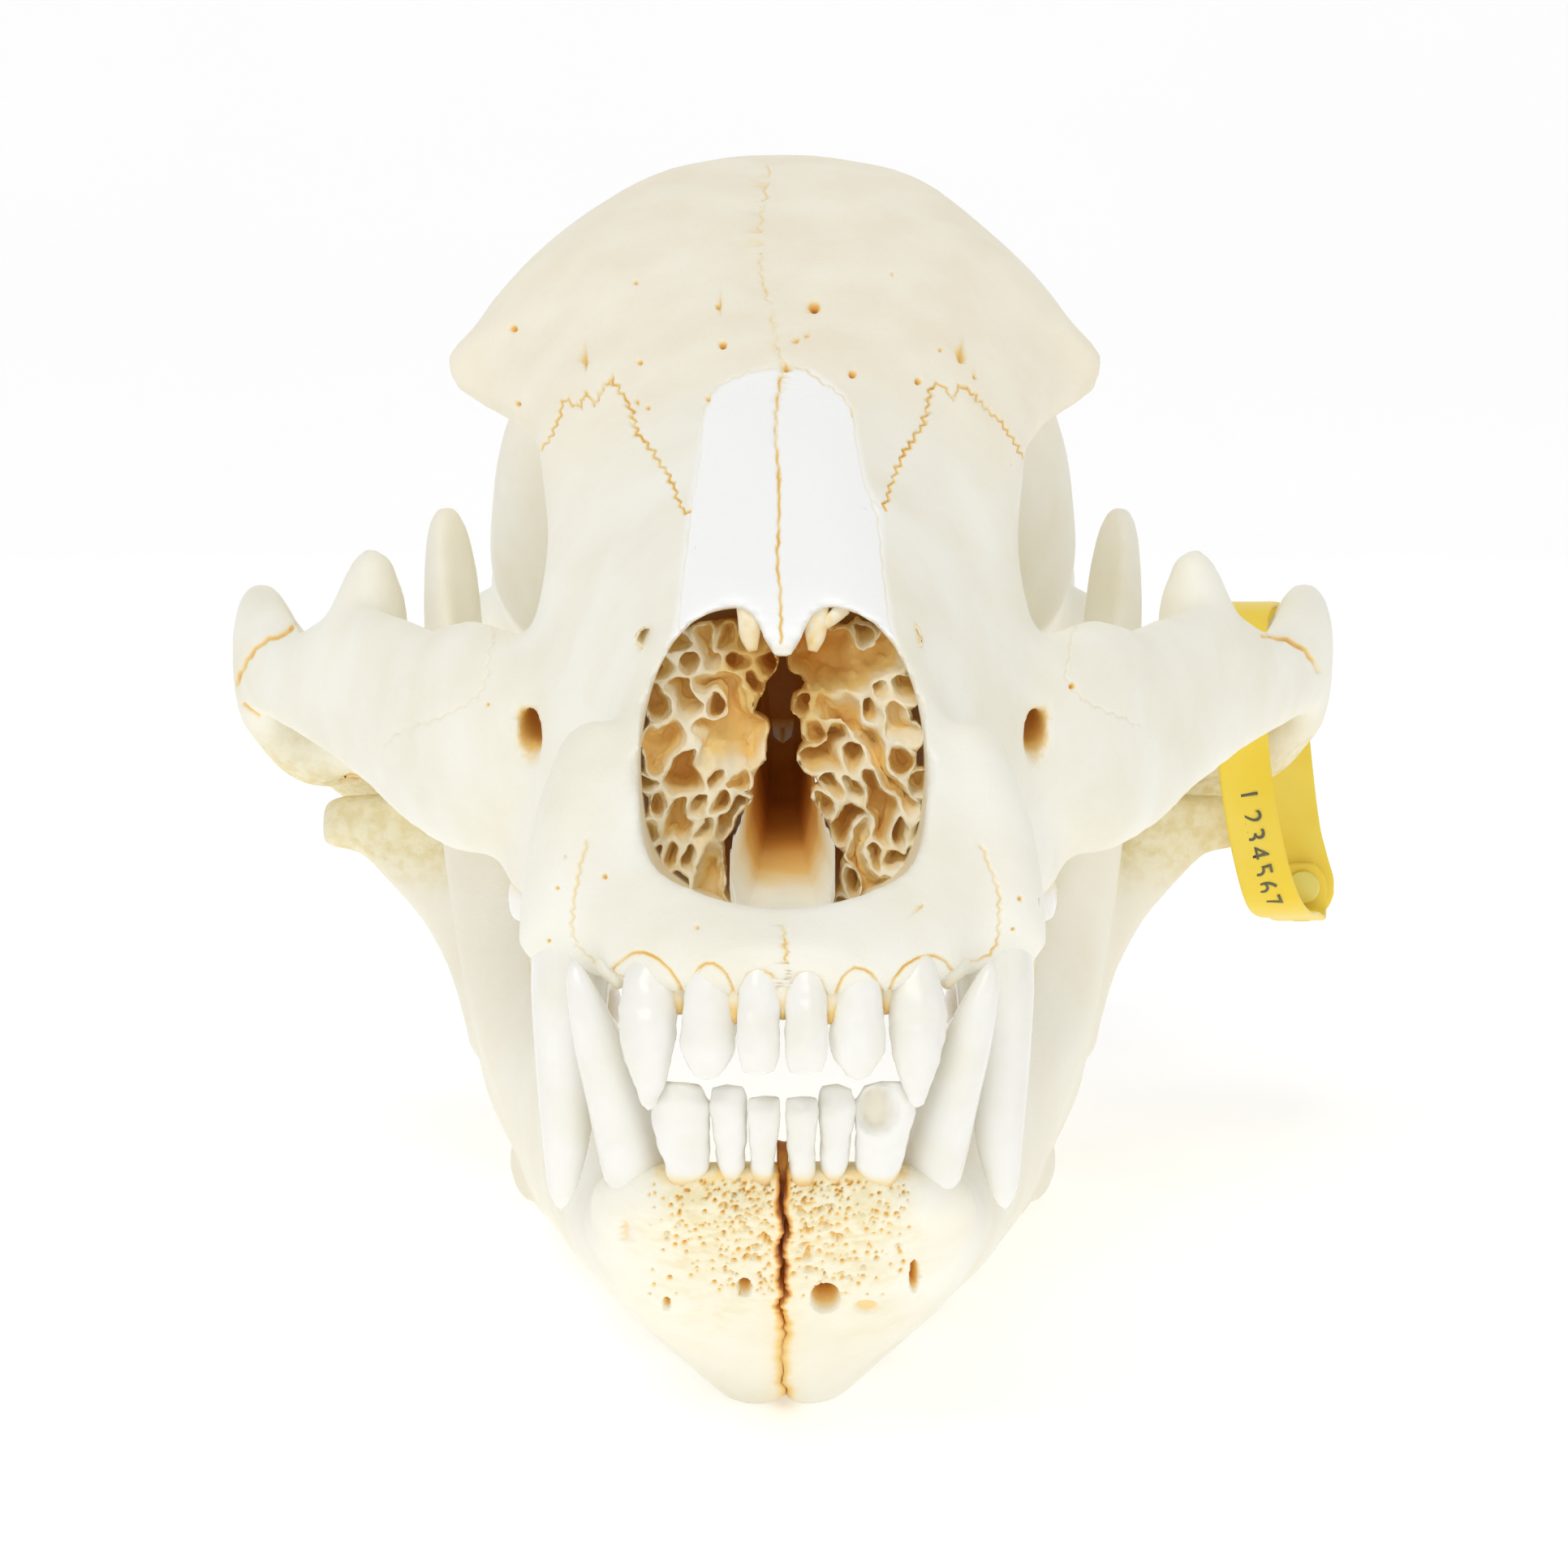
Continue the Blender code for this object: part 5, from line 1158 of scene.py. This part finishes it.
def enamel_finish():
    """Tooth enamel: milky white with a wet gloss, ivory towards the root."""
    enamel = Finish("enamel", 0.22)
    cloud = enamel.mix(enamel.fade(enamel.noise(120.0), 0.4, 0.75), linear("F8F7F1"), linear("F3F0E3"))
    root = enamel.ramp(enamel.attribute("root"), [
        (0.0, linear("F8F4E4")), (0.5, linear("F3E0AC")), (1.0, linear("E3A448"))])
    colour = enamel.mix(enamel.fade(enamel.attribute("root"), 0.0, 0.5), cloud, root)
    enamel.feed(enamel.shader.inputs["Base Color"], colour)
    enamel.bump(enamel.noise(220.0, 2.0), 0.00012, 0.3)
    return enamel.material


ENAMEL = enamel_finish()


def rounded_tip(stations):
    """The same stations with the last one drawn in to a dome."""
    (x, y, z), length, width = stations[-1]
    tip = Vector((x, y, z))
    ahead = (tip - Vector(stations[-2][0])).normalized()
    size = min(length, width)
    dome = [(0.75, 0.97), (0.3, 0.75), (0.08, 0.42), (0.0, 0.1)]
    drawn_in = [(tuple(tip - ahead * back * size), length * s, width * s) for back, s in dome]
    return list(stations[:-1]) + drawn_in


def tooth(name, stations, side):
    mesh = sweep(rounded_tip(stations), 28, 44, up=(0, 1, 0), square=0.92)
    obj = gathered(f"{name}_crown_{'left' if side > 0 else 'right'}", [mesh if side > 0 else flipped(mesh)])
    points = points_of(obj.data)
    neck = Vector(stations[1][0])
    towards_root = (Vector(stations[0][0]) - neck).normalized()
    along = (points * (side, 1, 1) - np.array(neck)) @ np.array(towards_root)
    front_tooth = "incisor" in name
    neck_start, neck_reach = (1.6, 4.0)
    if front_tooth:
        neck_start, neck_reach = (1.3, 1.8) if "upper" in name else (2.8, 3.4)
    uneven = 0.5 * soft_noise(points, 2.0, 3.0)
    broken = np.zeros(len(points))
    if front_tooth:
        swell = 0.3 * soft_noise(points, 2.6, 11.0) + 0.12 * soft_noise(points, 1.2, 5.0)
        move_points(obj.data, points + normals_of(obj.data) * swell[:, None])
    if name == "lower_incisor_3" and side > 0:
        pixels = seen_at(points)
        broken = np.clip(4 - 3.2 * np.hypot((pixels[:, 0] - 1080) / 19, (pixels[:, 1] - 1368) / 25), 0, 1)
        broken *= points[:, 1] < 7.6
        chipped = points_of(obj.data)
        chipped[:, 1] += 2.0 * broken
        move_points(obj.data, chipped)
    amber_tint = np.clip((along + neck_start + uneven) / neck_reach, 0, 1)
    paint(obj.data, "root", np.maximum(amber_tint * (1.0 if front_tooth else 0.55), 0.26 * broken))
    obj.data.materials.append(ENAMEL)
    return on_table(obj, [f"{name}_{'left' if side > 0 else 'right'}"])


for name, stations in UPPER_TEETH + LOWER_TEETH:
    for side in (1, -1):
        tooth(name, stations, side)


# The collection tag: a soft yellow plastic strap looped round the left cheek arch, printed with
# plain digits, and the moulded stud that snaps its two ends together.
STRAP_PATH = [
    ((97.2, 236.0, -11.6), 2.2),
    ((97.2, 236.2, -14.1), 4.2),
    ((97.2, 236.4, -17.2), 4.75),
    ((97, 236, -19.8), 4.75),
    ((96.3, 231.6, -21.2), 4.75),
    ((94, 223, -19.6), 4.75),
    ((91.2, 212, -18), 4.75),
    ((88.8, 205.6, -15.2), 4.75),
    ((87, 202.6, -11), 4.75),
    ((85, 200.8, -3.5), 4.75),
    ((83.2, 200.2, 6), 4.75),
    ((82.2, 200.6, 16), 4.75),
    ((81.8, 202, 25), 4.75),
    ((82.4, 206, 32.2), 4.75),
    ((83.5, 213, 36.8), 4.75),
    ((86, 222, 37.6), 4.75),
    ((89.5, 232, 34.6), 4.75),
    ((92, 238.6, 28), 4.75),
    ((93.5, 240.6, 17), 4.75),
    ((94.8, 240.6, 5), 4.75),
    ((96.2, 239.4, -6), 4.75),
    ((96.8, 238.6, -10.6), 5.3),
    ((97.1, 238.2, -16.4), 6.5),
    ((97.2, 238.2, -20), 5.4),
    ((97.2, 238.2, -22), 3.3),
    ((97.2, 238.2, -22.8), 1.6),
]
STRAP_THICKNESS = 1.2
STRAP_CORNERS = 20
DIGITS = "1234567"
DIGIT_HEIGHT = 3.6
DIGIT_STEP = 3.4
DIGIT_SHARE = 0.7  # how much of the lettering's full size a digit's height takes up
INK_DEPTH = 0.12


def strap_line():
    """The strap's centre line, its half width, and its own across and outward directions."""
    path = np.array([[*centre, wide] for centre, wide in STRAP_PATH], float)
    steps = np.linalg.norm(np.diff(path[:, :3], axis=0), axis=1)
    knots = np.concatenate([[0], np.cumsum(steps)])
    count = 220
    smooth = ease_through(knots, path, np.linspace(0, knots[-1], count))
    rows = []
    for i, (x, y, z, wide) in enumerate(smooth):
        ahead = Vector(smooth[min(i + 1, count - 1), :3] - smooth[max(i - 1, 0), :3]).normalized()
        rise = Vector((1, 0.1, 0)).cross(ahead).normalized()
        rows.append((Vector((x, y, z)), wide, ahead.cross(rise).normalized(), rise, ahead))
    return rows


def strap_mesh():
    rings = []
    for centre, wide, side, rise, ahead in strap_line():
        ring = []
        for k in range(STRAP_CORNERS):
            turn = 2 * math.pi * k / STRAP_CORNERS
            across = math.copysign(abs(math.cos(turn)) ** 0.35, math.cos(turn)) * wide
            thick = math.copysign(abs(math.sin(turn)) ** 0.5, math.sin(turn)) * STRAP_THICKNESS / 2
            ring.append(centre + side * across + rise * thick)
        rings.append(ring)
    return skin_rings(rings)


def plastic_finish(name, light, deep):
    plastic = Finish(name, 0.38)
    colour = plastic.mix(plastic.fade(plastic.noise(60.0), 0.3, 0.7), linear(light), linear(deep))
    plastic.feed(plastic.shader.inputs["Base Color"], colour)
    plastic.bump(plastic.noise(900.0), 0.0001, 0.2)
    return plastic.material


strap = gathered("tag_band", [strap_mesh()])
strap.data.materials.append(plastic_finish("yellow_tag_plastic", "FCE25C", "F8D632"))
on_table(strap, ["tag_strap"])

# The printed digits lie on the strap's front leg and read downwards: dark grey ink, a plain count.
rows = [row for row in strap_line() if row[0].y < 212 and -18 < row[0].z < 6]
if rows[0][0].z < rows[-1][0].z:
    rows.reverse()
lengths = np.concatenate([[0], np.cumsum([(b[0] - a[0]).length for a, b in zip(rows[:-1], rows[1:])])])
ink_forms = []
for place, digit in enumerate(DIGITS):
    spot = int(np.argmin(np.abs(lengths - DIGIT_STEP * (place + 0.35))))
    centre = rows[spot][0]
    down = (rows[min(spot + 1, len(rows) - 1)][0] - rows[max(spot - 1, 0)][0]).normalized()
    outward = Vector((1, 0, 0)).cross(down)
    if outward.y > 0:
        outward = -outward
    glyph_up = outward.cross(down).normalized()
    curve = bpy.data.curves.new("digit", "FONT")
    curve.body = digit
    curve.size = DIGIT_HEIGHT / DIGIT_SHARE
    curve.align_x = "CENTER"
    curve.extrude = INK_DEPTH
    written = bpy.data.objects.new("digit", curve)
    bpy.context.scene.collection.objects.link(written)
    bpy.context.view_layer.update()
    form = bpy.data.meshes.new_from_object(written.evaluated_get(bpy.context.evaluated_depsgraph_get()))
    bpy.data.objects.remove(written)
    bpy.data.curves.remove(curve)
    form.transform(Matrix.Translation((0, -DIGIT_HEIGHT / 2, 0)))
    stand = centre + outward * (STRAP_THICKNESS / 2 + 0.02)
    turn = Matrix((down, glyph_up, outward)).transposed().to_4x4()
    form.transform(Matrix.Translation(stand) @ turn)
    form.materials.clear()
    ink_forms.append(form)
ink = gathered("tag_digits", ink_forms)
bm = bmesh.new()
bm.from_mesh(ink.data)
bmesh.ops.remove_doubles(bm, verts=bm.verts, dist=1e-4)
bmesh.ops.recalc_face_normals(bm, faces=bm.faces)
bm.to_mesh(ink.data)
bm.free()
ink.data.materials.append(plastic_finish("grey_ink", "5B5A44", "6A6850"))
on_table(ink, [])

# The stud is one moulded button of the same soft plastic: a small round head in front, a thin pin
# through both ends of the strap, and a wider foot behind. Its profile is depth and radius.
STUD_CENTRE = (97.2, -16)
STUD_TURNS = [
    (233.6, 2.6), (234.0, 3.0), (235.1, 3.0), (235.1, 1.5), (239.6, 1.5), (239.6, 4.4), (240.8, 4.4),
]
bm = bmesh.new()
turned = [(STUD_TURNS[0][0], 0.01), *STUD_TURNS, (STUD_TURNS[-1][0], 0.01)]
profile = [bm.verts.new((radius, y, 0)) for y, radius in turned]
edges = [bm.edges.new(pair) for pair in zip(profile[:-1], profile[1:])]
bmesh.ops.spin(bm, geom=profile + edges, axis=(0, 1, 0), cent=(0, 0, 0),
               angle=2 * math.pi, steps=48, use_merge=True)
bmesh.ops.remove_doubles(bm, verts=bm.verts, dist=0.02)
bmesh.ops.recalc_face_normals(bm, faces=bm.faces)
bmesh.ops.translate(bm, verts=bm.verts, vec=(STUD_CENTRE[0], 0, STUD_CENTRE[1]))
stud_mesh = bpy.data.meshes.new("stud")
bm.to_mesh(stud_mesh)
bm.free()
stud = gathered("tag_button", [stud_mesh])
stud.data.materials.append(plastic_finish("yellow_stud_plastic", "F6EA8C", "EFDD60"))
on_table(stud, ["tag_stud"])


# The floor: one sheet of white card that lies flat under the skull and curves up far behind it.
FLOOR_HALF = 3.0
bm = bmesh.new()
bmesh.ops.create_grid(bm, x_segments=24, y_segments=24, size=FLOOR_HALF)
for vert in bm.verts:
    rise = max(vert.co.y - 1.2, 0)
    vert.co.z = 0.9 * rise**2
floor_mesh = bpy.data.meshes.new("floor")
bm.to_mesh(floor_mesh)
bm.free()
floor = bpy.data.objects.new("floor", floor_mesh)
bpy.context.scene.collection.objects.link(floor)
floor_mesh.shade_smooth()
card = Finish("white_card", 0.9)
card.feed(card.shader.inputs["Base Color"], card.mix(card.noise(6.0), linear("FDFDFD"), linear("FAFAFA")))
card.shader.inputs["Emission Color"].default_value = (1, 1, 1, 1)
card.shader.inputs["Emission Strength"].default_value = 0.3
floor_mesh.materials.append(card.material)


# The studio: a white tent of light all round, a large soft lamp high in front, a weaker one to the right and
# one low in front.
scene = bpy.context.scene
world = bpy.data.worlds.new("tent")
world.use_nodes = True
world.node_tree.nodes["Background"].inputs["Color"].default_value = (1, 1, 1, 1)
world.node_tree.nodes["Background"].inputs["Strength"].default_value = 0.56
scene.world = world
scene.view_settings.view_transform = "Standard"

for name, place, aim, size, power in (
    ("key_lamp", (-0.35, -1.0, 1.5), (0, 0, 0.1), 1.0, 9),
    ("right_lamp", (1.3, -0.6, 0.7), (0, 0, 0.08), 1.0, 1.0),
    ("low_lamp", (0, -1.4, 0.35), (0, 0, 0.08), 0.8, 0.8),
):
    lamp = bpy.data.objects.new(name, bpy.data.lights.new(name, "AREA"))
    lamp.data.size = size
    lamp.data.energy = power
    lamp.location = place
    lamp.rotation_euler = (Vector(aim) - Vector(place)).to_track_quat("-Z", "Y").to_euler()
    scene.collection.objects.link(lamp)

camera = bpy.data.objects.new("camera", bpy.data.cameras.new("camera"))
camera.data.lens = LENS
camera.data.sensor_width = SENSOR
camera.location = ON_TABLE @ Vector(EYE)
camera.rotation_euler = (math.radians(90) - LOOK_DOWN - NOSE_UP, 0, 0)
scene.collection.objects.link(camera)
scene.camera = camera
